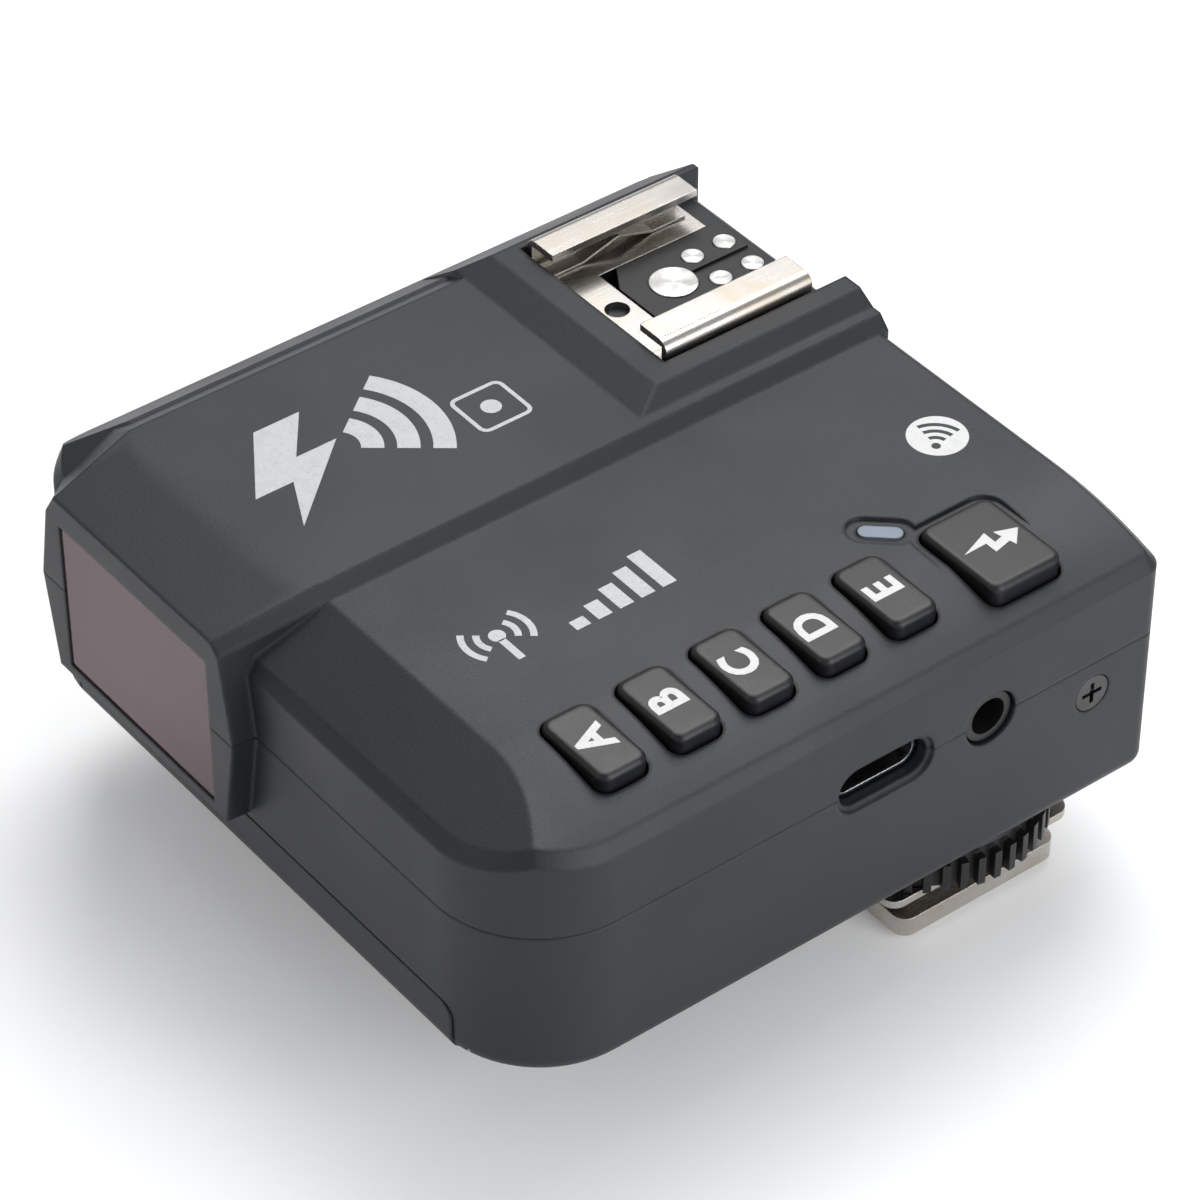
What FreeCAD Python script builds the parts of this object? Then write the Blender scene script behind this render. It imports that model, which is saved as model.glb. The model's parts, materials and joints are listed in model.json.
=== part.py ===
import FreeCAD, Part
import math
import os
import Sketcher

# Wireless flash trigger: a hot-shoe radio transmitter in separate pieces.
#
# Frame: millimetres, +Z up, -Y towards the subject, +X the side with the sockets.
# The origin is the middle of the underside of the shoe foot, on the lock wheel's axis.

V = FreeCAD.Vector
os.makedirs("parts", exist_ok=True)
doc = FreeCAD.newDocument("flash_trigger")

# ---------------------------------------------------------------- driving dimensions
DIMENSIONS = {
    # casing
    "right_x": 13.2, "left_x": -57.9, "rear_y": 15.0, "front_y": -54.0,
    "bottom_z": 10.2, "parting_z": 25.9, "top_z": 36.2, "wall": 1.8, "joint_gap": 0.06,
    "corner_right": 10.5, "corner_left": 7.0, "corner_rear": 1.4,
    "crown_start_x": -0.4, "crown_drop": 2.3, "rim_chamfer": 1.0, "bottom_round": 1.8,
    "bevel_start_y": -45.7, "bevel_end_z": 33.2,
    "ceiling_z": 34.4, "low_ceiling_z": 31.4,
    # raised ridge, shoe island and lamp housing
    "ridge_z": 37.45, "ridge_right_x": -24.2, "ridge_foot_x": -23.0, "ridge_left_x": -50.9,
    "ridge_front_y": -47.0, "island_z": 38.6, "island_front_y": -8.0, "island_ramp": 3.3,
    "lens_front_y": -56.3, "lens_bottom_z": 16.3, "lens_mid_x": -37.2,
    "window_wide": 22.0, "window_high": 15.5, "window_z": 25.2, "window_thick": 1.2,
    # shoe on top
    "shoe_x": -39.6, "shoe_y": 3.0, "lip_top_z": 40.0, "shoe_floor_z": 36.0, "sheet": 0.7,
    "shoe_half": 10.1, "slot_half": 6.35, "shoe_front_y": -5.0, "shoe_rear_y": 11.5,
    # keys
    "key_x": 4.45, "key_first_y": -39.2, "key_pitch": 7.63, "key_long": 8.6, "key_wide": 5.0,
    "key_top_z": 36.85, "key_round": 1.1, "key_gap": 0.25, "key_flange_z": 32.4,
    "test_x": 5.2, "test_y": 2.3, "test_long": 10.0, "test_wide": 7.8, "test_top_z": 36.75,
    "light_x": -2.15, "light_y": -3.55, "light_long": 3.9, "light_wide": 1.5, "light_turn": 48.0,
    # sockets and boards
    "usb_y": -15.4, "jack_y": -3.9, "jack_bore": 1.8, "board_z": 29.4, "board_thick": 1.2,
    # back panel
    "lcd_left": -46.0, "lcd_right": -12.0, "lcd_low": 15.8, "lcd_high": 31.8,
    "dial_x": 1.2, "dial_z": 21.4, "dial_rad": 8.2, "dial_front_y": 18.4, "set_rad": 4.1,
    "rear_key_x": -52.0, "rear_key_z": 18.2, "rear_key_pitch": 5.6,
    # battery bay and door
    "bay_left": -51.0, "bay_right": 4.6, "bay_rear": -20.0, "bay_roof": 27.2, "bay_wall": 1.2,
    "seam_z": 15.6, "door_gap": 0.2, "pin_y": -52.9, "pin_z": 11.5, "pin_rad": 0.5,
    "cell_rad": 7.1, "cell_long": 50.0,
    # foot
    "foot_half": 9.3, "foot_long": 9.0, "foot_thick": 2.0, "neck_half": 6.2, "post_rad": 8.6,
    "wheel_rad": 12.2, "wheel_low": 5.0, "wheel_high": 9.0, "tooth_deep": 0.9, "tooth_high": 3.0,
    "contact_x": 2.05, "contact_near": 3.7, "contact_far": 7.3, "lock_pin_y": -6.35,
}

sheet = doc.addObject("Spreadsheet::Sheet", "dims")
for row, (alias, size) in enumerate(DIMENSIONS.items(), start=1):
    sheet.set("A%d" % row, alias)
    sheet.set("B%d" % row, str(size))
    sheet.setAlias("B%d" % row, alias)
doc.recompute()


class Dim:
    """A length with its number and the expression that ties it to the sheet."""

    def __init__(self, size, text):
        self.size, self.text = size, text

    def _join(self, other, sign, size):
        return Dim(size, "(%s %s %s)" % (self.text, sign, text_of(other)))

    def __add__(self, other):
        return self._join(other, "+", self.size + number(other))

    def __sub__(self, other):
        return self._join(other, "-", self.size - number(other))

    def __mul__(self, other):
        return self._join(other, "*", self.size * number(other))

    def __truediv__(self, other):
        return self._join(other, "/", self.size / number(other))

    def __neg__(self):
        return self * -1

    __radd__ = __add__
    __rmul__ = __mul__

    def __rsub__(self, other):
        return (-self) + other


def number(value):
    return value.size if isinstance(value, Dim) else float(value)


def text_of(value):
    return value.text if isinstance(value, Dim) else "%.6g" % value


class Sheet:
    """Reads a driving dimension by name: d.top_z."""

    def __getattr__(self, alias):
        return Dim(float(DIMENSIONS[alias]), "dims." + alias)


d = Sheet()
NODES = []


def bind(obj, name, value):
    obj.setExpression(name, text_of(value))


def place(obj, x, y, z):
    bind(obj, "Placement.Base.x", x)
    bind(obj, "Placement.Base.y", y)
    bind(obj, "Placement.Base.z", z)


def node(obj, name):
    """Marks an object as a finished piece: its label names its file."""
    obj.Label = name
    NODES.append(obj)
    return obj


# ---------------------------------------------------------------- Part primitives
TURN = {"x": FreeCAD.Rotation(V(0, 1, 0), 90), "y": FreeCAD.Rotation(V(1, 0, 0), -90),
        "z": FreeCAD.Rotation()}


def box(x0, x1, y0, y1, z0, z1):
    obj = doc.addObject("Part::Box", "block")
    for name, low, high in (("Length", x0, x1), ("Width", y0, y1), ("Height", z0, z1)):
        bind(obj, name, high - low)
    place(obj, x0, y0, z0)
    return obj


def cylinder(axis, rad, x, y, z, high):
    """A round bar that starts at a point and runs along +x, +y or +z."""
    obj = doc.addObject("Part::Cylinder", "round")
    bind(obj, "Radius", rad)
    bind(obj, "Height", high)
    obj.Placement = FreeCAD.Placement(V(), TURN[axis])
    place(obj, x, y, z)
    return obj


def cut(base, *tools):
    for tool in tools:
        result = doc.addObject("Part::Cut", "cut")
        result.Base, result.Tool = base, tool
        base = result
    return base


def fuse(*pieces):
    result = doc.addObject("Part::MultiFuse", "fused")
    result.Shapes = list(pieces)
    result.Refine = True
    return result


def group(*pieces):
    """Separate identical solids that share one node."""
    result = doc.addObject("Part::Compound", "set")
    result.Links = list(pieces)
    return result


def rounded(base, rad, wanted):
    """A Part fillet of the edges that the test picks."""
    doc.recompute()
    result = doc.addObject("Part::Fillet", "eased")
    result.Base = base
    edges = [i for i, e in enumerate(base.Shape.Edges, start=1) if wanted(e)]
    result.Edges = [(i, number(rad), number(rad)) for i in edges]
    base.Visibility = False
    return result


def straight_along(direction):
    def test(edge):
        if edge.Curve.TypeId != "Part::GeomLine":
            return False
        return abs(abs(edge.tangentAt(edge.FirstParameter).dot(direction)) - 1) < 1e-6
    return test


def at_height(z, slack=0.01):
    def test(edge):
        bounds = edge.BoundBox
        return abs(bounds.ZMin - z) < slack and abs(bounds.ZMax - z) < slack
    return test


# ---------------------------------------------------------------- PartDesign helpers


def new_body(name):
    body = doc.addObject("PartDesign::Body", name)
    body.AllowCompound = True
    return body


def sketch_on(body, plane, level):
    """A sketch on a plane of its own body, moved to a level along the row axis."""
    sketch = body.newObject("Sketcher::SketchObject", "sketch")
    origin = [f for f in body.Origin.OriginFeatures if f.Role == plane + "_Plane"][0]
    sketch.AttachmentSupport = [(origin, "")]
    sketch.MapMode = "FlatFace"
    sign = -1 if plane == "XZ" else 1
    bind(sketch, "AttachmentOffset.Base.z", level * sign if isinstance(level, Dim) else sign * level)
    return sketch


def pin_point(sketch, geo, pos, x, y):
    for kind, value in (("DistanceX", x), ("DistanceY", y)):
        index = sketch.addConstraint(Sketcher.Constraint(kind, -1, 1, geo, pos, number(value)))
        if isinstance(value, Dim):
            sketch.setExpression("Constraints[%d]" % index, value.text)


def polygon(sketch, points):
    """A closed outline of straight runs through points given in the sketch's plane."""
    count = len(points)
    for i, (x, y) in enumerate(points):
        nx, ny = points[(i + 1) % count]
        sketch.addGeometry(Part.LineSegment(V(number(x), number(y), 0), V(number(nx), number(ny), 0)))
    for i in range(count):
        sketch.addConstraint(Sketcher.Constraint("Coincident", i, 2, (i + 1) % count, 1))
    for i, (x, y) in enumerate(points):
        pin_point(sketch, i, 1, x, y)


def soft_rectangle(sketch, x0, x1, y0, y1, rad):
    """A rectangle with round corners: four sides and four quarter arcs."""
    first = sketch.GeometryCount
    sides = [((x0 + rad, y0), (x1 - rad, y0)), ((x1, y0 + rad), (x1, y1 - rad)),
             ((x1 - rad, y1), (x0 + rad, y1)), ((x0, y1 - rad), (x0, y0 + rad))]
    centres = [(x1 - rad, y0 + rad), (x1 - rad, y1 - rad), (x0 + rad, y1 - rad), (x0 + rad, y0 + rad)]
    for a, b in sides:
        sketch.addGeometry(Part.LineSegment(V(number(a[0]), number(a[1]), 0),
                                            V(number(b[0]), number(b[1]), 0)))
    for i, c in enumerate(centres):
        ring = Part.Circle(V(number(c[0]), number(c[1]), 0), V(0, 0, 1), number(rad))
        start = -math.pi / 2 + i * math.pi / 2
        sketch.addGeometry(Part.ArcOfCircle(ring, start, start + math.pi / 2))
    for i, (a, b) in enumerate(sides):
        pin_point(sketch, first + i, 1, *a)
        pin_point(sketch, first + i, 2, *b)
    for i in range(4):
        arc = first + 4 + i
        sketch.addConstraint(Sketcher.Constraint("Coincident", first + i, 2, arc, 1))
        sketch.addConstraint(Sketcher.Constraint("Coincident", first + (i + 1) % 4, 1, arc, 2))
        index = sketch.addConstraint(Sketcher.Constraint("Radius", arc, number(rad)))
        if isinstance(rad, Dim):
            sketch.setExpression("Constraints[%d]" % index, rad.text)


def circle(sketch, x, y, rad):
    geo = sketch.addGeometry(Part.Circle(V(number(x), number(y), 0), V(0, 0, 1), number(rad)))
    pin_point(sketch, geo, 3, x, y)
    index = sketch.addConstraint(Sketcher.Constraint("Radius", geo, number(rad)))
    if isinstance(rad, Dim):
        sketch.setExpression("Constraints[%d]" % index, rad.text)


def pad(body, sketch, length, back=False):
    """Adds material from a sketch, away from its plane's normal when back is set."""
    feature = body.newObject("PartDesign::Pad", "pad")
    feature.Profile = sketch
    bind(feature, "Length", length)
    feature.Reversed = back
    body.Tip = feature
    return feature


def pocket(body, sketch, length, back=False):
    """Cuts a sketch's outline to a depth and checks that material really went."""
    doc.recompute()
    before = body.Shape.Volume
    feature = body.newObject("PartDesign::Pocket", "pocket")
    feature.Profile = sketch
    bind(feature, "Length", length)
    feature.Reversed = back
    body.Tip = feature
    doc.recompute()
    if body.Shape.Volume > before - 1e-4:
        raise RuntimeError("a pocket in %s cuts nothing" % body.Name)
    return feature


def ease(body, kind, size, wanted):
    """A PartDesign fillet or chamfer of the edges that the test picks."""
    doc.recompute()
    base = body.Tip
    names = ["Edge%d" % i for i, e in enumerate(base.Shape.Edges, start=1) if wanted(e)]
    if not names:
        raise RuntimeError("no edge to ease in %s" % body.Name)
    feature = body.newObject("PartDesign::" + kind, kind.lower())
    feature.Base = (base, names)
    bind(feature, "Radius" if kind == "Fillet" else "Size", size)
    body.Tip = feature
    doc.recompute()
    if "Invalid" in feature.State or not feature.Shape.isValid():
        raise RuntimeError("%s failed in %s" % (kind, body.Name))
    return feature


def near_point(x, y, slack=0.4):
    """Upright edges that stand at a point of the plan, with a little draft allowed."""
    def test(edge):
        middle = edge.CenterOfMass
        upright = edge.BoundBox.ZLength > 0.99 * edge.Length
        return upright and abs(middle.x - number(x)) < slack and abs(middle.y - number(y)) < slack
    return test


# ---------------------------------------------------------------- casing
KEY_ROWS = [d.key_first_y + d.key_pitch * i for i in range(5)]
KEY_NAMES = ["key_a", "key_b", "key_c", "key_d", "key_e"]
REAR_KEYS = ["key_menu", "key_zoom", "key_mode"]
SWITCHES = {"power_switch_knob": -12.0, "focus_lamp_switch_knob": 3.0}
SWITCH_Z = 19.5
SIDE_SCREW = (7.8, 22.4)


def plan_corners(body):
    """Rounds the four upright corners of a casing half."""
    for x, y, rad in ((d.right_x, d.front_y, d.corner_right), (d.left_x, d.front_y, d.corner_left),
                      (d.right_x, d.rear_y, d.corner_rear), (d.left_x, d.rear_y, d.corner_rear)):
        ease(body, "Fillet", rad, near_point(x, y))


def on_rim(edge):
    """Edges of the top that lie on the socket side, the front or the two front corners."""
    middle = edge.valueAt((edge.FirstParameter + edge.LastParameter) / 2)
    if edge.BoundBox.ZMin < number(d.bevel_end_z) - 1 or edge.BoundBox.YMin > number(d.rear_y) - 1:
        return False
    round_x = number(d.right_x - d.corner_right)
    round_y = number(d.front_y + d.corner_right)
    if middle.x > round_x and middle.y < round_y:
        reach = math.hypot(middle.x - round_x, middle.y - round_y)
        return abs(reach - number(d.corner_right)) < 0.3
    return abs(middle.x - number(d.right_x)) < 0.2 or abs(middle.y - number(d.front_y)) < 0.2


def inner_plan(body, level, depth, back=False):
    """Hollows a casing half by the wall's thickness, with round corners."""
    inside = sketch_on(body, "XY", level)
    soft_rectangle(inside, d.left_x + d.wall, d.right_x - d.wall, d.front_y + d.wall, 0,
                   d.corner_right - d.wall)
    pocket(body, inside, depth, back)
    rear = sketch_on(body, "XY", level)
    soft_rectangle(rear, d.left_x + d.wall, d.right_x - d.wall, -20, d.rear_y - d.wall, d.corner_rear)
    return pocket(body, rear, depth, back)


def lens_sections(body, upper):
    """The two outlines that the lamp housing runs between, at the ridge and at its front."""
    if upper:
        rear = [(d.left_x + 0.6, d.parting_z), (d.left_x + 0.7, d.bevel_end_z + 0.4),
                (d.ridge_left_x, d.ridge_z), (d.ridge_right_x, d.ridge_z),
                (d.ridge_foot_x, d.top_z), (d.ridge_foot_x + 1.1, d.parting_z)]
        front = [(d.lens_mid_x - 14.5, d.parting_z), (d.lens_mid_x - 13.1, d.top_z - 2.6),
                 (d.lens_mid_x - 11.7, d.top_z - 0.4), (d.lens_mid_x + 12.0, d.top_z - 0.4),
                 (d.lens_mid_x + 13.1, d.top_z - 1.4), (d.lens_mid_x + 14.5, d.parting_z)]
    else:
        rear = [(d.left_x + 0.6, d.parting_z), (d.ridge_foot_x + 1.1, d.parting_z),
                (d.ridge_foot_x - 0.6, d.lens_bottom_z), (d.left_x + 4.0, d.lens_bottom_z)]
        front = [(d.lens_mid_x - 14.5, d.parting_z), (d.lens_mid_x + 14.5, d.parting_z),
                 (d.lens_mid_x + 12.9, d.lens_bottom_z), (d.lens_mid_x - 12.9, d.lens_bottom_z)]
    sketches = []
    for level, outline in ((d.ridge_front_y, rear), (d.lens_front_y, front)):
        sketch = sketch_on(body, "XZ", level)
        polygon(sketch, outline)
        sketches.append(sketch)
    loft = body.newObject("PartDesign::AdditiveLoft", "housing")
    loft.Profile = sketches[0]
    loft.Sections = [sketches[1]]
    loft.Ruled = True
    body.Tip = loft
    doc.recompute()


def room_outline(rear):
    """The plan of the hollow behind the lamp window, which leaves a ledge for the window."""
    half = d.window_wide / 2 - 1
    front = d.lens_front_y + 1
    return [(d.lens_mid_x - half, front), (d.lens_mid_x + half, front),
            (d.lens_mid_x + half, rear), (d.lens_mid_x - half, rear)]


def window_opening(body, low, high):
    """Cuts a casing half for the lamp window: its frame, then the hollow behind it."""
    seat = sketch_on(body, "XZ", d.lens_front_y)
    polygon(seat, [(d.lens_mid_x - d.window_wide / 2 - 0.1, low),
                   (d.lens_mid_x + d.window_wide / 2 + 0.1, low),
                   (d.lens_mid_x + d.window_wide / 2 + 0.1, high),
                   (d.lens_mid_x - d.window_wide / 2 - 0.1, high)])
    pocket(body, seat, d.window_thick + 0.3, back=False)


def top_shell():
    body = new_body("top_shell")
    section = sketch_on(body, "XZ", d.rear_y)
    crown = d.right_x - d.crown_start_x
    outline = [(d.right_x, d.top_z - d.crown_drop), (d.right_x, d.parting_z), (d.left_x, d.parting_z),
               (d.left_x + 0.2, d.bevel_end_z), (d.left_x + 4.5, d.top_z), (d.crown_start_x, d.top_z)]
    corners = [V(number(x), number(z), 0) for x, z in outline]
    for start, end in zip(corners, corners[1:]):
        section.addGeometry(Part.LineSegment(start, end))
    # the crown falls away as a shallow arc from the flat to the socket side
    crown_x = d.crown_start_x + crown * 0.5
    crown_z = d.top_z - d.crown_drop * 0.25
    section.addGeometry(Part.Arc(corners[-1], V(number(crown_x), number(crown_z), 0), corners[0]))
    pad(body, section, d.rear_y - d.front_y)
    plan_corners(body)

    bevel = sketch_on(body, "YZ", d.left_x - 1)
    polygon(bevel, [(d.bevel_start_y, d.top_z + 0.001), (d.bevel_start_y, d.top_z + 3),
                    (d.front_y - 1, d.top_z + 3),
                    (d.front_y - 0.01, d.bevel_end_z)])
    pocket(body, bevel, d.right_x - d.left_x + 2, back=True)

    ease(body, "Chamfer", d.rim_chamfer, on_rim)

    ridge = sketch_on(body, "XZ", d.rear_y)
    polygon(ridge, [(d.left_x + 0.7, d.bevel_end_z + 0.4), (d.ridge_left_x, d.ridge_z),
                    (d.ridge_right_x, d.ridge_z), (d.ridge_foot_x, d.top_z), (d.ridge_foot_x, d.ceiling_z),
                    (d.left_x + 3.0, d.low_ceiling_z)])
    pad(body, ridge, d.rear_y - d.ridge_front_y)
    island = sketch_on(body, "XZ", d.rear_y)
    polygon(island, [(d.left_x + 0.7, d.bevel_end_z + 0.4), (d.ridge_left_x, d.island_z),
                     (d.ridge_right_x - 2.9, d.island_z), (d.ridge_foot_x, d.top_z),
                     (d.ridge_foot_x, d.ceiling_z), (d.left_x + 3.0, d.low_ceiling_z)])
    pad(body, island, d.rear_y - d.island_front_y + d.island_ramp)
    ramp = sketch_on(body, "YZ", d.left_x - 1)
    polygon(ramp, [(d.island_front_y - d.island_ramp, d.ridge_z), (d.island_front_y, d.island_z + 0.01),
                   (d.island_front_y, d.island_z + 1), (d.island_front_y - d.island_ramp - 1, d.island_z + 1),
                   (d.island_front_y - d.island_ramp - 1, d.ridge_z)])
    pocket(body, ramp, d.right_x - d.left_x + 2, back=True)
    lens_sections(body, upper=True)

    inner_plan(body, d.parting_z, d.low_ceiling_z - d.parting_z, back=True)
    hollow = sketch_on(body, "XZ", d.rear_y - d.wall)
    polygon(hollow, [(d.left_x + 2.1, d.low_ceiling_z - 0.5), (d.left_x + 2.1, d.low_ceiling_z + 0.8),
                     (d.left_x + 5.3, d.ceiling_z), (d.key_x, d.ceiling_z),
                      (d.right_x - 2.6, d.ceiling_z - 1.0),
                     (d.right_x - 1.9, d.low_ceiling_z + 1.2), (d.right_x - 1.9, d.low_ceiling_z - 0.5)])
    pocket(body, hollow, d.rear_y - d.wall + 44.5, back=True)
    lamp_room = sketch_on(body, "XY", d.parting_z)
    polygon(lamp_room, room_outline(d.front_y + 3))
    pocket(body, lamp_room, d.window_z + d.window_high / 2 - 1 - d.parting_z, back=True)
    window_opening(body, d.parting_z - 1, d.window_z + d.window_high / 2 + 0.1)

    # the shoe's seat, open at the rear so that a foot can slide in
    seat = sketch_on(body, "XY", d.island_z + 1)
    polygon(seat, [(d.shoe_x - d.shoe_half - 0.4, d.shoe_front_y - 0.5),
                   (d.shoe_x + d.shoe_half + 0.4, d.shoe_front_y - 0.5),
                   (d.shoe_x + d.shoe_half + 0.4, d.rear_y + 1),
                   (d.shoe_x - d.shoe_half - 0.4, d.rear_y + 1)])
    pocket(body, seat, d.island_z + 1 - d.shoe_floor_z)
    well = sketch_on(body, "XY", d.shoe_floor_z)
    polygon(well, [(d.shoe_x - 5.1, d.shoe_y - 3.9), (d.shoe_x + 5.1, d.shoe_y - 3.9),
                   (d.shoe_x + 5.1, d.rear_y - d.wall - 0.3), (d.shoe_x - 5.1, d.rear_y - d.wall - 0.3)])
    pocket(body, well, 3)
    lip = sketch_on(body, "YZ", d.shoe_x - d.shoe_half - 0.4)
    polygon(lip, [(d.rear_y - 1.2, d.shoe_floor_z), (d.rear_y + 1, d.shoe_floor_z),
                  (d.rear_y + 1, d.shoe_floor_z - 2.2)])
    pocket(body, lip, d.shoe_half * 2 + 0.8, back=True)

    # dished panel round the test key and its light, then the key and light openings
    dish = sketch_on(body, "XY", d.top_z + 1)
    soft_rectangle(dish, d.test_x - d.test_long / 2 - 1, d.test_x + d.test_long / 2 + 1,
                   d.test_y - d.test_wide / 2 - 1, d.test_y + d.test_wide / 2 + 1, d.key_round + 1)
    pocket(body, dish, 1.35)
    keys = sketch_on(body, "XY", d.top_z + 2)
    for y in KEY_ROWS:
        soft_rectangle(keys, d.key_x - d.key_long / 2 - d.key_gap, d.key_x + d.key_long / 2 + d.key_gap,
                       y - d.key_wide / 2 - d.key_gap, y + d.key_wide / 2 + d.key_gap,
                        d.key_round + d.key_gap)
    soft_rectangle(keys, d.test_x - d.test_long / 2 - d.key_gap, d.test_x + d.test_long / 2 + d.key_gap,
                   d.test_y - d.test_wide / 2 - d.key_gap, d.test_y + d.test_wide / 2 + d.key_gap,
                   d.key_round + d.key_gap)
    pocket(body, keys, 6)
    light = sketch_on(body, "XY", d.top_z + 1)
    capsule(light, d.light_x, d.light_y, d.light_long + 0.2, d.light_wide + 0.2)
    pocket(body, light, 4)
    rim = sketch_on(body, "XY", d.top_z + 1)
    capsule(rim, d.light_x, d.light_y, d.light_long + 2.2, d.light_wide + 1.8)
    pocket(body, rim, 1.35)

    socket_cuts(body, upper=True)
    back_cuts(body)
    screw_holes = sketch_on(body, "XY", d.shoe_floor_z)
    for x, y in SHOE_SCREWS:
        circle(screw_holes, d.shoe_x + x, d.shoe_y + y, 0.85)
    pocket(body, screw_holes, 3)
    return node(body, "top_shell")


def capsule(sketch, x, y, long, wide):
    """A slot with round ends, turned in the plan by the light's angle."""
    turn = math.radians(number(d.light_turn))
    along = V(math.cos(turn), math.sin(turn), 0)
    across = V(-along.y, along.x, 0) * (number(wide) / 2)
    half = along * ((number(long) - number(wide)) / 2)
    middle = V(number(x), number(y), 0)
    ends = [middle - half, middle + half]
    sketch.addGeometry(Part.LineSegment(ends[0] - across, ends[1] - across))
    sketch.addGeometry(Part.Arc(ends[1] - across, ends[1] + along * (number(wide) / 2), ends[1] + across))
    sketch.addGeometry(Part.LineSegment(ends[1] + across, ends[0] + across))
    sketch.addGeometry(Part.Arc(ends[0] + across, ends[0] - along * (number(wide) / 2), ends[0] - across))
    for i in range(4):
        sketch.addConstraint(Sketcher.Constraint("Block", i))


SHOE_SCREWS = [(-7.6, -5.0), (7.6, -5.0), (-7.6, 6.0), (7.6, 6.0)]


def socket_cuts(body, upper):
    """Openings in the side wall for the two sockets, both centred on the parting line."""
    ports = sketch_on(body, "YZ", d.right_x + 0.5)
    soft_rectangle(ports, d.usb_y - 4.75, d.usb_y + 4.75, d.parting_z - 1.9, d.parting_z + 1.9, 1.8)
    circle(ports, d.jack_y, d.parting_z, 2.75)
    pocket(body, ports, d.wall + 1.0)
    relief = sketch_on(body, "YZ", d.right_x + 0.5)
    soft_rectangle(relief, d.usb_y - 5.25, d.usb_y + 5.25, d.parting_z - 2.4, d.parting_z + 2.4, 2.3)
    pocket(body, relief, 0.9)


def back_cuts(body):
    """Openings in the rear wall for the display and the dial."""
    back = sketch_on(body, "XZ", d.rear_y + 1)
    soft_rectangle(back, d.lcd_left - 0.1, d.lcd_right + 0.1, d.lcd_low - 0.1, d.lcd_high + 0.1, 1.1)
    circle(back, d.dial_x, d.dial_z, d.dial_rad + 0.25)
    for i in range(3):
        z = d.rear_key_z + d.rear_key_pitch * i
        soft_rectangle(back, d.rear_key_x - 2.85, d.rear_key_x + 2.85, z - 1.95, z + 1.95, 0.9)
    pocket(body, back, d.wall + 1.5, back=True)



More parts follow.
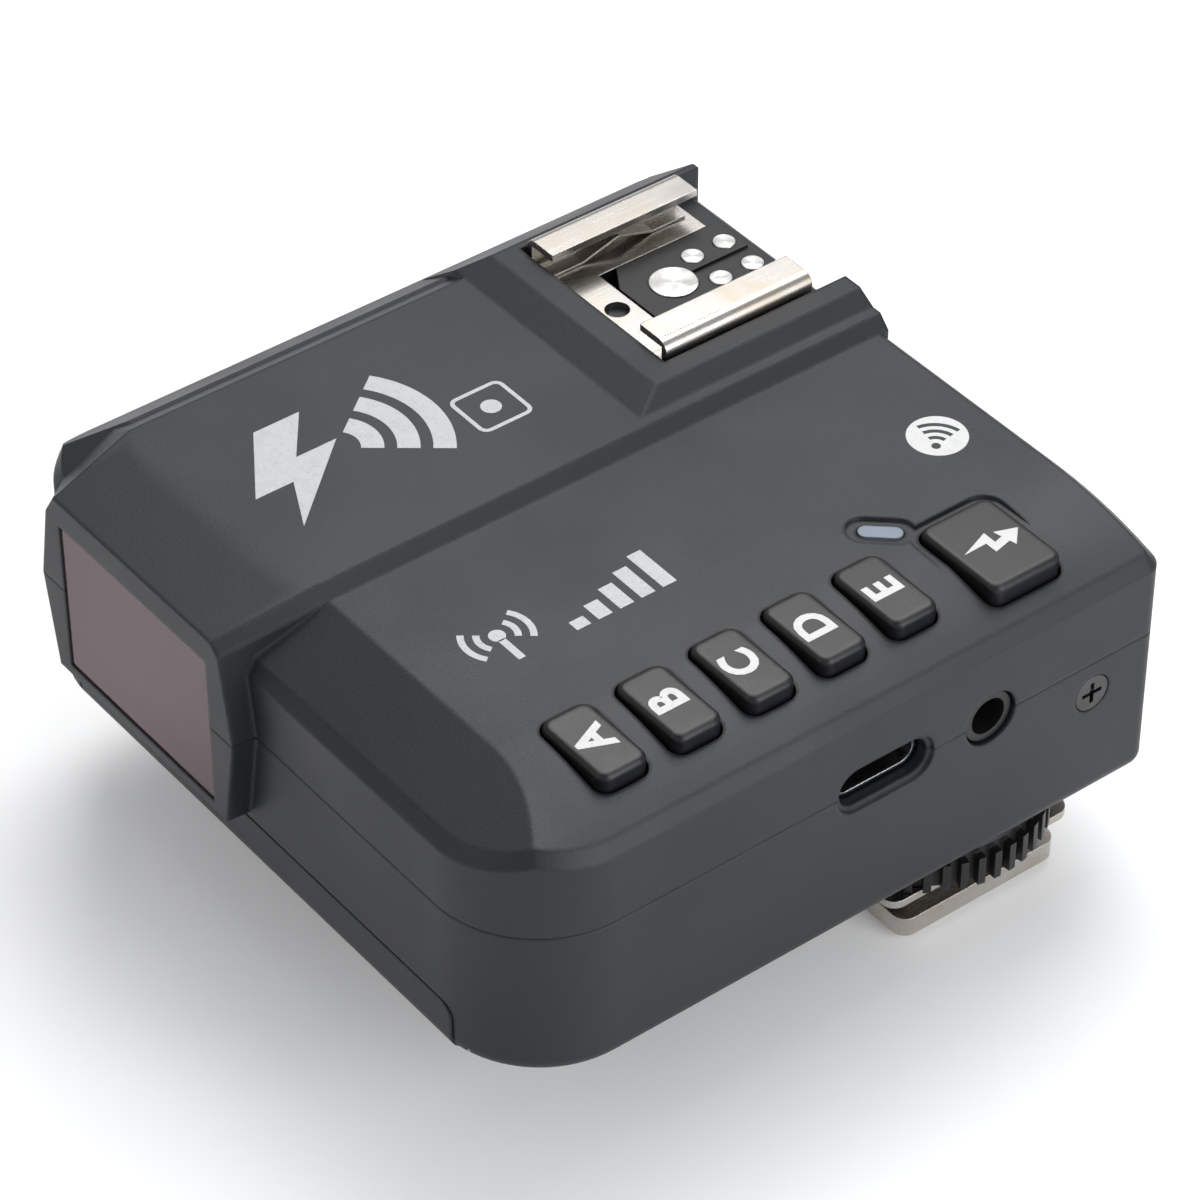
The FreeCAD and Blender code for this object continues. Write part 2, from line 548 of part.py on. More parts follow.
def bottom_shell():
    body = new_body("bottom_shell")
    plan = sketch_on(body, "XY", d.bottom_z)
    polygon(plan, [(d.left_x, d.front_y), (d.right_x, d.front_y),
                   (d.right_x, d.rear_y), (d.left_x, d.rear_y)])
    pad(body, plan, d.parting_z - d.bottom_z - d.joint_gap)
    plan_corners(body)
    ease(body, "Fillet", d.bottom_round, at_height(number(d.bottom_z)))
    lens_sections(body, upper=False)
    skim = sketch_on(body, "XY", d.parting_z - d.joint_gap)
    polygon(skim, [(d.left_x - 1, d.lens_front_y - 1), (d.right_x + 1, d.lens_front_y - 1),
                   (d.right_x + 1, d.rear_y + 1), (d.left_x - 1, d.rear_y + 1)])
    pocket(body, skim, 1, back=True)

    inner_plan(body, d.bottom_z + d.wall, d.parting_z - d.bottom_z, back=True)
    # the battery tub stands on the floor and rises a little way into the top half
    tub_left, tub_right = d.bay_left - d.bay_wall, d.bay_right + d.bay_wall
    tub_rear = d.bay_rear + d.bay_wall
    tub = sketch_on(body, "XY", d.bottom_z + d.wall - 0.5)
    polygon(tub, [(tub_left, d.front_y + 1), (tub_right, d.front_y + 1),
                  (tub_right, tub_rear), (tub_left, tub_rear)])
    pad(body, tub, d.parting_z - 0.3 - d.bottom_z - d.wall + 0.5)
    tub_front = d.front_y + d.wall + 0.3
    roof = sketch_on(body, "XY", d.parting_z - 0.4)
    polygon(roof, [(tub_left + 3.6, tub_front), (tub_right, tub_front), (tub_right, tub_rear),
                   (tub_left, tub_rear), (tub_left, tub_front + 1.8)])
    pad(body, roof, d.bay_roof + d.bay_wall - d.parting_z + 0.4)
    ease(body, "Fillet", 0.8, at_height(number(d.bay_roof + d.bay_wall)))
    bay = sketch_on(body, "XY", d.bottom_z - 1)
    polygon(bay, [(d.bay_left, d.front_y + d.wall + 1.4), (d.bay_right, d.front_y + d.wall + 1.4),
                  (d.bay_right, d.bay_rear), (d.bay_left, d.bay_rear)])
    pocket(body, bay, d.bay_roof - d.bottom_z + 1, back=True)
    floor_cut = sketch_on(body, "XY", d.bottom_z - 1)
    polygon(floor_cut, [(d.bay_left, d.front_y - 1), (d.bay_right, d.front_y - 1),
                        (d.bay_right, d.bay_rear + 1.4), (d.bay_left, d.bay_rear + 1.4)])
    pocket(body, floor_cut, d.wall + 1, back=True)
    lip_cut = sketch_on(body, "XZ", d.front_y - 1)
    soft_rectangle(lip_cut, d.bay_left, d.bay_right, d.bottom_z - 4, d.seam_z, 1.6)
    pocket(body, lip_cut, d.wall + 2.4)
    pin_holes = sketch_on(body, "YZ", d.bay_left - 1.5)
    circle(pin_holes, d.pin_y, d.pin_z, d.pin_rad + 0.02)
    pocket(body, pin_holes, d.bay_right - d.bay_left + 3.0, back=True)

    lamp_room = sketch_on(body, "XY", d.parting_z + 1)
    polygon(lamp_room, room_outline(d.front_y + 0.2))
    pocket(body, lamp_room, d.parting_z - (d.window_z - d.window_high / 2))
    window_opening(body, d.window_z - d.window_high / 2 - 0.1, d.parting_z + 1)

    post_hole = sketch_on(body, "XY", d.bottom_z - 1)
    circle(post_hole, 0, 0, d.post_rad + 0.02)
    pocket(body, post_hole, 4, back=True)
    socket_cuts(body, upper=False)
    back_cuts(body)
    for y in SWITCHES.values():
        slot = sketch_on(body, "YZ", d.left_x - 1)
        soft_rectangle(slot, y - 2.7, y + 2.7, SWITCH_Z - 1.0, SWITCH_Z + 1.0, 0.2)
        pocket(body, slot, 4, back=True)
        dip = sketch_on(body, "YZ", d.left_x - 1)
        soft_rectangle(dip, y - 4.2, y + 4.2, SWITCH_Z - 1.9, SWITCH_Z + 1.9, 1.2)
        pocket(body, dip, 1.7, back=True)
    side = sketch_on(body, "YZ", d.right_x + 1)
    circle(side, SIDE_SCREW[0], SIDE_SCREW[1], 1.9)
    pocket(body, side, 1.9)
    shank = sketch_on(body, "YZ", d.right_x + 1)
    circle(shank, SIDE_SCREW[0], SIDE_SCREW[1], 0.95)
    pocket(body, shank, 4)
    side_left = sketch_on(body, "YZ", d.left_x - 1)
    circle(side_left, SIDE_SCREW[0], SIDE_SCREW[1], 1.9)
    pocket(body, side_left, 1.9, back=True)
    shank_left = sketch_on(body, "YZ", d.left_x - 1)
    circle(shank_left, SIDE_SCREW[0], SIDE_SCREW[1], 0.95)
    pocket(body, shank_left, 4, back=True)
    return node(body, "bottom_shell")


def case_screws():
    """A flat-headed screw through each side wall, with a cross recess."""
    y, z = SIDE_SCREW
    screws = []
    for face, inward in ((d.right_x, -1), (d.left_x, 1)):
        def span(near, far):
            return (face - far, face - near) if inward < 0 else (face + near, face + far)
        head_start, head_end = span(0.05, 0.88)
        shank_start, shank_end = span(0.8, 3.3)
        head = cylinder("x", 1.8, head_start, y, z, head_end - head_start)
        shank = cylinder("x", 0.85, shank_start, y, z, shank_end - shank_start)
        near, far = span(0, 0.55)
        slots = [box(near, far, y - a, y + a, z - b, z + b) for a, b in ((1.1, 0.22), (0.22, 1.1))]
        screws.append(cut(fuse(head, shank), *slots))
    return node(group(*screws), "case_screws")


def battery_door():
    """An L-shaped cover: the bay's floor with a lip up the front, bored for its hinge pin."""
    body = new_body("battery_door")
    gap = d.door_gap
    inner_z = d.bottom_z + d.wall - 0.1
    shape = sketch_on(body, "YZ", d.bay_left + gap)
    polygon(shape, [(d.front_y, d.bottom_z), (d.bay_rear + 1.2, d.bottom_z), (d.bay_rear + 1.2, inner_z),
                    (d.front_y + d.wall, inner_z), (d.front_y + d.wall, d.seam_z - gap),
                    (d.front_y, d.seam_z - gap)])
    pad(body, shape, d.bay_right - d.bay_left - gap * 2)
    ease(body, "Fillet", d.bottom_round,
         lambda e: straight_along(V(1, 0, 0))(e) and e.BoundBox.ZMax < number(d.bottom_z) + 0.01
         and e.BoundBox.YMax < number(d.front_y) + 0.01)
    ease(body, "Fillet", 1.6,
         lambda e: straight_along(V(0, 1, 0))(e) and e.BoundBox.ZMin > number(d.seam_z) - 0.5)
    bore = sketch_on(body, "YZ", d.bay_left)
    circle(bore, d.pin_y, d.pin_z, d.pin_rad + 0.04)
    pocket(body, bore, d.bay_right - d.bay_left, back=True)
    recess = sketch_on(body, "XY", d.bottom_z)
    soft_rectangle(recess, LATCH_X - 7.2, LATCH_X + 7.2, d.bay_rear - 7.2, d.bay_rear, 0.6)
    pocket(body, recess, 1.0, back=True)
    return node(body, "battery_door")


LATCH_X = -20.0


def door_fittings():
    """The steel pin that the door turns on, and the ribbed slider that latches it."""
    pin = cylinder("x", d.pin_rad, d.bay_left - 1.4, d.pin_y, d.pin_z, d.bay_right - d.bay_left + 2.8)
    node(pin, "door_hinge_pin")
    slider = box(LATCH_X - 7, LATCH_X + 7, d.bay_rear - 4.4, d.bay_rear - 0.2,
                 d.bottom_z + 0.05, d.bottom_z + 0.9)
    ribs = [box(LATCH_X - 5, LATCH_X + 5, d.bay_rear - 3.9 + 0.9 * i, d.bay_rear - 3.45 + 0.9 * i,
                d.bottom_z - 0.2, d.bottom_z + 0.4) for i in range(4)]
    node(cut(slider, *ribs), "door_latch")


CELL_Y = [-42.9, -28.2]
CELL_Z = 19.6


def power_parts():
    """Two AA cells across the front, with a coil spring and a plate at their ends."""
    cells, springs = [], []
    for y, nub_side in zip(CELL_Y, (1, -1)):
        middle = (d.bay_left + d.bay_right) / 2 + 0.9 * nub_side
        can = cylinder("x", d.cell_rad, middle - d.cell_long / 2, y, CELL_Z, d.cell_long)
        doc.recompute()
        can = rounded(can, 0.8, lambda e: e.Curve.TypeId == "Part::GeomCircle")
        nub_x = middle + d.cell_long / 2 - 0.1 if nub_side > 0 else middle - d.cell_long / 2 - 1.1
        nub = cylinder("x", 2.7, nub_x, y, CELL_Z, 1.2)
        cells.append(fuse(can, nub))
        turns = []
        for i in range(4):
            turn_x = d.bay_left + 0.9 + 0.72 * i if nub_side > 0 else d.bay_right - 0.9 - 0.72 * i
            turns.append(torus_x(turn_x, y, CELL_Z, 3.6 - 0.3 * i))
        springs.append(fuse(*turns))
    node(group(*cells), "aa_cells")
    node(group(*springs), "battery_springs")
    plates = [box(x, x + 0.35, CELL_Y[0] - 6, CELL_Y[1] + 6, CELL_Z - 5.5, CELL_Z + 5.5)
              for x in (d.bay_left + 0.05, d.bay_right - 0.4)]
    node(group(*plates), "battery_contact_plates")


def torus_x(x, y, z, rad):
    """One turn of a coil whose axis lies along X."""
    ring = doc.addObject("Part::Torus", "turn")
    bind(ring, "Radius1", rad)
    bind(ring, "Radius2", 0.42)
    ring.Placement = FreeCAD.Placement(V(), TURN["x"])
    place(ring, x, y, z)
    return ring


def inner_boards():
    """Main board with its shield, aerial, key switches and buzzer, and the socket and rear boards."""
    board_top = d.board_z + d.board_thick
    main = box(d.left_x + 3.6, d.right_x - 3.4, -43.8, 7.2, d.board_z, board_top)
    main = cut(main, cylinder("z", 2, -30.0, -14.0, d.board_z - 1, 4))
    node(main, "main_board")
    shield = box(-50.0, -34.0, -26.0, -10.0, board_top, board_top + 2.2)
    node(rounded(shield, 0.5, straight_along(V(0, 0, 1))), "rf_module_shield")
    aerial = fuse(box(-53.0, -52.2, -41.0, -14.0, board_top, board_top + 1.4),
                  box(-53.0, -49.0, -41.0, -40.2, board_top, board_top + 1.4),
                  box(-53.0, -49.0, -33.0, -32.2, board_top, board_top + 1.4))
    node(aerial, "antenna")
    switches = []
    for x, y in [(d.key_x - 1.5, y) for y in KEY_ROWS] + [(d.test_x - 1.5, d.test_y)]:
        case = box(x - 2.1, x + 2.1, y - 1.6, y + 1.6, board_top, board_top + 0.75)
        plunger = cylinder("z", 0.9, x, y, board_top + 0.7, 0.4)
        switches.append(fuse(case, plunger))
    node(group(*switches), "tact_switches")
    node(cut(cylinder("z", 4.5, -18.0, -34.0, board_top, 2.4),
             cylinder("z", 0.8, -18.0, -34.0, board_top + 1.0, 2)), "buzzer")
    node(box(1.0, 11.2, -18.6, 0.0, 22.2, 22.9), "port_board")
    rear = box(-54.4, 9.7, 8.0, 9.0, 17.6, 32.0)
    node(cut(rear, cylinder("y", 1.5, d.dial_x, 7, d.dial_z, 3)), "rear_board")


def sockets():
    """A USB-C receptacle and a 3.5 mm jack, set on the parting line of the socket side."""
    shell = new_body("usb_c_shell")
    outer = sketch_on(shell, "YZ", 6.0)
    soft_rectangle(outer, d.usb_y - 4.47, d.usb_y + 4.47, d.parting_z - 1.63, d.parting_z + 1.63, 1.6)
    pad(shell, outer, 5.6)
    inner = sketch_on(shell, "YZ", 6.8)
    soft_rectangle(inner, d.usb_y - 4.17, d.usb_y + 4.17, d.parting_z - 1.33, d.parting_z + 1.33, 1.28)
    pocket(shell, inner, 8, back=True)
    node(shell, "usb_c_shell")
    tongue = rounded(box(6.82, 10.8, d.usb_y - 3.34, d.usb_y + 3.34,
                         d.parting_z - 0.35, d.parting_z + 0.35),
                     0.2, straight_along(V(0, 0, 1)))
    node(tongue, "usb_c_tongue")
    case = rounded(box(1.6, 10.9, d.jack_y - 3.0, d.jack_y + 3.0, d.parting_z - 2.9, d.parting_z + 2.9),
                   0.4, straight_along(V(1, 0, 0)))
    barrel = cylinder("x", 2.5, 10.5, d.jack_y, d.parting_z, 2.3)
    node(cut(fuse(case, barrel), cylinder("x", d.jack_bore, 2.6, d.jack_y, d.parting_z, 12)), "sync_jack")


LAMP_Z = 29.95


def lamp_parts():
    """The red window on the front and the focus-assist lamp behind it."""
    window = new_body("af_window")
    face = sketch_on(window, "XZ", d.lens_front_y + 0.15)
    soft_rectangle(face, d.lens_mid_x - d.window_wide / 2, d.lens_mid_x + d.window_wide / 2,
                   d.window_z - d.window_high / 2, d.window_z + d.window_high / 2, 0.6)
    pad(window, face, d.window_thick, back=True)
    node(window, "af_window")
    cup = doc.addObject("Part::Cone", "cup")
    hollow = doc.addObject("Part::Cone", "hollow")
    for cone, small, large, start in ((cup, 1.1, 1.8, -50.6), (hollow, 0.8, 1.5, -50.9)):
        bind(cone, "Radius1", small)
        bind(cone, "Radius2", large)
        bind(cone, "Height", 3.4)
        cone.Placement = FreeCAD.Placement(V(), FreeCAD.Rotation(V(1, 0, 0), 90))
        place(cone, d.lens_mid_x, start, LAMP_Z)
    node(cut(cup, hollow, cylinder("y", 0.75, d.lens_mid_x, -51.5, LAMP_Z, 1.5)), "af_lamp_reflector")
    lamp = fuse(cylinder("y", 0.7, d.lens_mid_x, -51.6, LAMP_Z, 1.8),
                cylinder("y", 1.1, d.lens_mid_x, -50.3, LAMP_Z, 1.0))
    node(lamp, "af_lamp_led")
    pipe = new_body("status_light_pipe")
    rod = sketch_on(pipe, "XY", d.board_z + d.board_thick + 0.6)
    capsule(rod, d.light_x, d.light_y, d.light_long, d.light_wide)
    pad(pipe, rod, d.top_z - 0.2 - (d.board_z + d.board_thick + 0.6))
    node(pipe, "status_light_pipe")


def press_key(name, x, y, long, wide, top, plane="XY", flange=d.key_flange_z, rad=d.key_round):
    """A moulded key: cap with eased top edges, a flange that stops it, and a stem."""
    body = new_body(name)
    cap = sketch_on(body, plane, flange)
    soft_rectangle(cap, x - long / 2, x + long / 2, y - wide / 2, y + wide / 2, rad)
    outward = plane == "XZ"
    pad(body, cap, top - flange, back=outward)
    level = number(top)
    ease(body, "Fillet", 0.55, at_height(level) if plane == "XY" else
         lambda e: e.BoundBox.YMin > level - 0.01)
    rim = sketch_on(body, plane, flange)
    soft_rectangle(rim, x - long / 2 - 0.5, x + long / 2 + 0.5, y - wide / 2 - 0.5, y + wide / 2 + 0.5, rad)
    pad(body, rim, 0.5, back=outward)
    return body


def keys():
    for name, y in zip(KEY_NAMES, KEY_ROWS):
        node(press_key(name, d.key_x, y, d.key_long, d.key_wide, d.key_top_z), name)
    node(press_key("test_key", d.test_x, d.test_y, d.test_long, d.test_wide, d.test_top_z), "test_key")
    for i, name in enumerate(REAR_KEYS):
        z = d.rear_key_z + d.rear_key_pitch * i
        node(press_key(name, d.rear_key_x, z, 5.4, 3.6, d.rear_y + 0.7, "XZ",
                       d.rear_y - d.wall - 0.8, 0.8), name)


def back_panel():
    """Display window, panel and frame, and the select dial with its centre key."""
    window = new_body("lcd_window")
    face = sketch_on(window, "XZ", d.rear_y - 0.1)
    soft_rectangle(face, d.lcd_left, d.lcd_right, d.lcd_low, d.lcd_high, 1.0)
    pad(window, face, 1.2)
    node(window, "lcd_window")
    frame_rear = d.rear_y - d.wall - 0.05
    node(box(d.lcd_left + 0.6, d.lcd_right - 0.6, frame_rear - 2.0, frame_rear - 0.2,
             d.lcd_low + 0.6, d.lcd_high - 0.6),
         "lcd_panel")
    outer = box(d.lcd_left - 1.2, d.lcd_right + 1.2, frame_rear - 3.0, frame_rear - 0.1,
                d.lcd_low - 1.2, d.lcd_high + 1.0)
    inner = box(d.lcd_left + 0.5, d.lcd_right - 0.5, frame_rear - 2.1, frame_rear + 1,
                d.lcd_low + 0.5, d.lcd_high - 0.5)
    node(cut(outer, inner), "lcd_frame")

    dial = new_body("select_dial")
    ring = sketch_on(dial, "XZ", d.dial_front_y)
    circle(ring, d.dial_x, d.dial_z, d.dial_rad)
    circle(ring, d.dial_x, d.dial_z, d.set_rad + 0.25)
    pad(dial, ring, d.dial_front_y - (d.rear_y - d.wall - 0.4))
    ease(dial, "Fillet", 0.7, lambda e: e.BoundBox.YMin > number(d.dial_front_y) - 0.01)
    hub = sketch_on(dial, "XZ", d.rear_y - d.wall - 0.3)
    circle(hub, d.dial_x, d.dial_z, 6.2)
    circle(hub, d.dial_x, d.dial_z, d.set_rad + 0.25)
    pad(dial, hub, 2.0)
    node(dial, "select_dial")
    button = new_body("set_key")
    cap = sketch_on(button, "XZ", d.dial_front_y - 0.5)
    circle(cap, d.dial_x, d.dial_z, d.set_rad)
    pad(button, cap, 6.0)
    ease(button, "Fillet", 0.6, lambda e: e.BoundBox.YMin > number(d.dial_front_y) - 0.51)
    node(button, "set_key")
    node(cut(cylinder("y", 6.0, d.dial_x, 9.05, d.dial_z, 1.6), cylinder("y", 2.0, d.dial_x, 8, d.dial_z, 4)),
         "dial_encoder")


def side_switches():
    """Two slide switches on the side away from the sockets."""
    cases = []
    for name, y in SWITCHES.items():
        cap = rounded(box(d.left_x - 0.6, d.left_x + 0.55, y - 3.5, y - 0.1, SWITCH_Z - 1.5, SWITCH_Z + 1.5),
                      0.5, straight_along(V(1, 0, 0)))
        ribs = [box(d.left_x - 1, d.left_x - 0.3, y - 3.0 + 0.8 * i, y - 2.6 + 0.8 * i,
                    SWITCH_Z - 2, SWITCH_Z + 2)
                for i in range(4)]
        stem = box(d.left_x + 0.4, d.left_x + 2.6, y - 2.5, y - 1.1, SWITCH_Z - 0.8, SWITCH_Z + 0.8)
        node(fuse(cut(cap, *ribs), stem), name)
        cases.append(box(d.left_x + 2.7, d.left_x + 5.6, y - 4.5, y + 4.5, SWITCH_Z - 2, SWITCH_Z + 2))
    node(group(*cases), "slide_switches")


def shoe():
    """The accessory shoe on top: folded rails, two leaf springs, contacts and screws."""
    rails = new_body("shoe_rails")
    fold = sketch_on(rails, "XZ", d.shoe_rear_y)
    half, s, low, high = d.shoe_half, d.sheet, d.shoe_floor_z, d.lip_top_z
    right = [(half * -1, low), (half, low), (half, high), (d.slot_half, high), (d.slot_half, high - s),
             (half - s, high - s), (half - s, low + s), (s - half, low + s), (s - half, high - s),
             (-d.slot_half, high - s), (-d.slot_half, high), (half * -1, high)]
    polygon(fold, [(d.shoe_x + x, z) for x, z in right])
    pad(rails, fold, d.shoe_rear_y - d.shoe_front_y)
    ease(rails, "Fillet", 1.1, lambda e: straight_along(V(0, 1, 0))(e) and e.BoundBox.ZMin > 39.9
         and abs(e.CenterOfMass.x - number(d.shoe_x)) > 9.9)
    floor_gap = sketch_on(rails, "XY", d.shoe_floor_z + 2)
    polygon(floor_gap, [(d.shoe_x - 5.0, d.shoe_y - 3.8), (d.shoe_x + 5.0, d.shoe_y - 3.8),
                        (d.shoe_x + 5.0, d.rear_y), (d.shoe_x - 5.0, d.rear_y)])
    circle(floor_gap, d.shoe_x, d.shoe_y - 5.6, 1.15)
    for x, y in SHOE_SCREWS:
        circle(floor_gap, d.shoe_x + x, d.shoe_y + y, 0.82)
    pocket(rails, floor_gap, 3)
    node(rails, "shoe_rails")

    springs = []
    for side in (-1, 1):
        strip = new_body("leaf")
        x = d.shoe_x + side * 7.9 - 0.75
        bow = sketch_on(strip, "YZ", x)
        outline = [(-4.6, 36.75), (-1.0, 36.75), (3.2, 37.9), (7.0, 36.75), (10.8, 36.75)]
        polygon(bow, outline + [(y, z + 0.25) for y, z in reversed(outline)])
        pad(strip, bow, 1.5)
        springs.append(strip)
    node(group(*springs), "shoe_leaf_springs")

    block = new_body("shoe_contact_block")
    base = sketch_on(block, "XY", 33.4)
    polygon(base, [(d.shoe_x - 4.9, d.shoe_y - 1.9), (d.shoe_x - 2.2, d.shoe_y - 3.6),
                   (d.shoe_x + 4.9, d.shoe_y - 3.6),
                   (d.shoe_x + 4.9, 12.7), (d.shoe_x - 4.9, 12.7)])
    pad(block, base, 3.35)
    groove = sketch_on(block, "XY", 36.75)
    polygon(groove, [(d.shoe_x - 0.4, d.shoe_y + 0.8), (d.shoe_x + 0.4, d.shoe_y + 0.8),
                     (d.shoe_x + 0.4, 13.0), (d.shoe_x - 0.4, 13.0)])
    pocket(block, groove, 0.3)
    holes = sketch_on(block, "XY", 36.75)
    circle(holes, d.shoe_x, d.shoe_y + 0.8, 2.3)
    for x in (-d.contact_x, d.contact_x):
        for y in (4.6, 8.25):
            circle(holes, d.shoe_x + x, d.shoe_y + y, 1.1)
    pocket(block, holes, 6)
    node(block, "shoe_contact_block")
    discs = [cylinder("z", 2.28, d.shoe_x, d.shoe_y + 0.8, 33.6, 3.3)]
    discs += [cylinder("z", 1.08, d.shoe_x + x, d.shoe_y + y, 33.6, 3.27)
              for x in (-d.contact_x, d.contact_x) for y in (4.6, 8.25)]
    node(group(*[rounded(disc, 0.12, at_top) for disc in discs]), "shoe_contacts")
    screws = [fuse(cylinder("z", 1.5, d.shoe_x + x, d.shoe_y + y, 33.4, 0.9),
                   cylinder("z", 0.8, d.shoe_x + x, d.shoe_y + y, 34.2, 2.5)) for x, y in SHOE_SCREWS]
    node(group(*screws), "shoe_screws")


def at_top(edge):
    return edge.BoundBox.ZMin > 36.8


FOOT_PINS = {"foot_pin_centre": (0, 0, 1.1)}
for index, (px, py) in enumerate(((-1, "near"), (1, "near"), (-1, "far"), (1, "far")), start=1):
    along = d.contact_near if py == "near" else d.contact_far
    FOOT_PINS["foot_pin_%d" % index] = (px * d.contact_x, along, 0.6)
PIN_PROUD = 0.6
FOOT_SCREWS = [(-5.0, -4.6), (5.0, -4.6), (-5.0, 4.4), (5.0, 4.4)]


def foot():
    """The foot that slides into a camera's shoe, with its lock wheel, clamp plate and pins."""
    plate = new_body("foot_plate")
    tongue = sketch_on(plate, "XY", 0)
    soft_rectangle(tongue, -d.foot_half, d.foot_half, -d.foot_long, d.foot_long, 1.4)
    pad(plate, tongue, d.foot_thick)
    well = sketch_on(plate, "XY", -0.5)
    polygon(well, [(-3.8, -2.6), (3.8, -2.6), (3.8, 8.2), (-3.8, 8.2)])
    circle(well, 0, d.lock_pin_y, 1.0)
    for x, y in FOOT_SCREWS:
        circle(well, x, y, 0.8)
    pocket(plate, well, d.foot_thick + 1, back=True)
    node(plate, "foot_plate")

    # a spacer with two flats keeps the clamp plate from turning, and the round post stands on it
    spacer = new_body("foot_spacer")
    disc = sketch_on(spacer, "XY", d.foot_thick)
    circle(disc, 0, 0, d.post_rad)
    pad(spacer, disc, d.wheel_low - d.foot_thick)
    flats = sketch_on(spacer, "XY", d.foot_thick - 0.5)
    for low, high in ((-d.post_rad - 1, -d.neck_half), (d.neck_half, d.post_rad + 1)):
        soft_rectangle(flats, low, high, -d.post_rad - 1, d.post_rad + 1, 0.2)
    pocket(spacer, flats, d.wheel_low - d.foot_thick + 1, back=True)
    pin_room = sketch_on(spacer, "XY", d.foot_thick - 0.5)
    polygon(pin_room, [(-2.75, -1.3), (2.75, -1.3), (2.75, 8.0), (-2.75, 8.0)])
    pocket(spacer, pin_room, 2.9, back=True)
    post = new_body("foot_post")
    round_post = sketch_on(post, "XY", d.wheel_low)
    circle(round_post, 0, 0, d.post_rad)
    pad(post, round_post, d.bottom_z + d.wall - d.wheel_low)
    for body in (spacer, post):
        shafts = sketch_on(body, "XY", d.foot_thick - 0.5)
        circle(shafts, 0, d.lock_pin_y, 1.0)
        circle(shafts, 0, 2.5, 1.6)
        for x, y in FOOT_SCREWS:
            circle(shafts, x, y, 0.8)
        pocket(body, shafts, d.bottom_z + 3, back=True)
        node(body, body.Label)

    block = new_body("foot_contact_block")
    base = sketch_on(block, "XY", 0.1)
    polygon(base, [(-3.75, -2.55), (3.75, -2.55), (3.75, 8.15), (-3.75, 8.15)])
    pad(block, base, d.foot_thick - 0.2)
    holes = sketch_on(block, "XY", 0)
    for x, y, rad in FOOT_PINS.values():
        circle(holes, x, y, rad + 0.05)
    pocket(block, holes, 4, back=True)
    node(block, "foot_contact_block")
    for name, (x, y, rad) in FOOT_PINS.items():
        tip = doc.addObject("Part::Sphere", "tip")
        bind(tip, "Radius", rad)
        place(tip, x, y, rad - PIN_PROUD)
        node(fuse(cylinder("z", rad, x, y, rad - PIN_PROUD, 3.4 - rad + PIN_PROUD), tip), name)
    node(cylinder("z", 0.93, 0, d.lock_pin_y, 0.4, 9.0), "lock_pin")

    wheel = new_body("lock_wheel")
    rim = sketch_on(wheel, "XY", d.wheel_low)
    circle(rim, 0, 0, d.wheel_rad - d.tooth_deep)
    circle(rim, 0, 0, d.post_rad + 0.05)
    pad(wheel, rim, d.wheel_high - d.wheel_low)
    ease(wheel, "Chamfer", 0.4, lambda e: at_height(number(d.wheel_high))(e) and e.Length > 60)
    tooth = sketch_on(wheel, "XY", d.wheel_low)
    polygon(tooth, [(-0.36, d.wheel_rad - d.tooth_deep - 0.3), (0.36, d.wheel_rad - d.tooth_deep - 0.3),
                    (0.36, d.wheel_rad), (-0.36, d.wheel_rad)])
    teeth = pad(wheel, tooth, d.tooth_high)
    ring = wheel.newObject("PartDesign::PolarPattern", "teeth")
    ring.Originals = [teeth]
    ring.Axis = ([f for f in wheel.Origin.OriginFeatures if f.Role == "Z_Axis"][0], [""])
    ring.Angle = 360
    ring.Occurrences = 46
    wheel.Tip = ring
    node(wheel, "lock_wheel")
    pad_plate = new_body("clamp_plate")
    flat = sketch_on(pad_plate, "XY", 4.1)
    soft_rectangle(flat, -d.foot_half, d.foot_half, -d.foot_long - 1.4, d.foot_long + 1.4, 1.4)
    pad(pad_plate, flat, 0.8)
    hole = sketch_on(pad_plate, "XY", 4.0)
    soft_rectangle(hole, -d.neck_half - 0.2, d.neck_half + 0.2, -d.post_rad - 0.15, d.post_rad + 0.15, 0.5)
    pocket(pad_plate, hole, 2, back=True)
    node(pad_plate, "clamp_plate")
    washer = cut(cylinder("z", 10.6, 0, 0, d.bottom_z + d.wall + 0.02, 1.4),
                 *[cylinder("z", 0.95, x, y, 11, 4) for x, y in FOOT_SCREWS],
                 cylinder("z", 3.6, 0, 2.5, 11, 4))
    node(washer, "foot_backing_plate")
    screws = [fuse(cylinder("z", 0.78, x, y, 0.4, 13.2), cylinder("z", 1.6, x, y, 13.45, 0.9))
              for x, y in FOOT_SCREWS]
    node(group(*screws), "foot_screws")


def check_and_export():
    """Stops on a failed object, then writes each piece to its own file."""
    doc.recompute()
    failed = [o.Name for o in doc.Objects if "Invalid" in o.State or "Error" in o.State]
    if failed:
        raise RuntimeError("failed objects: %s" % failed)
    for piece in NODES:
        shape = piece.Shape
        if shape.isNull() or not shape.isValid() or not shape.Solids:
            raise RuntimeError("%s has no valid solid" % piece.Label)
        shape.exportStep("parts/%s.step" % piece.Label)
        print("%-24s solids %d  volume %.1f" % (piece.Label, len(shape.Solids), shape.Volume))
    print(len(NODES), "pieces")


for build in (top_shell, bottom_shell, case_screws, battery_door, door_fittings, power_parts, inner_boards,
              sockets, lamp_parts, keys, back_panel, side_switches, shoe, foot):
    build()
check_and_export()
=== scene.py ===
# %% [markdown]
# # A hot-shoe radio trigger, finished in Blender
# The design of this little box, every size and every joint of it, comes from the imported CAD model.
# Blender only dresses it: it gives each part its material, and adds what is too thin or too fine to
# be a machined part, such as printed marks and grip ribs. The first cell loads the frame and keeps
# its box, because nothing that is added later may stick out of it.

# %% Load the frame
import json
import math
import bmesh
import bpy
from mathutils import Matrix, Vector


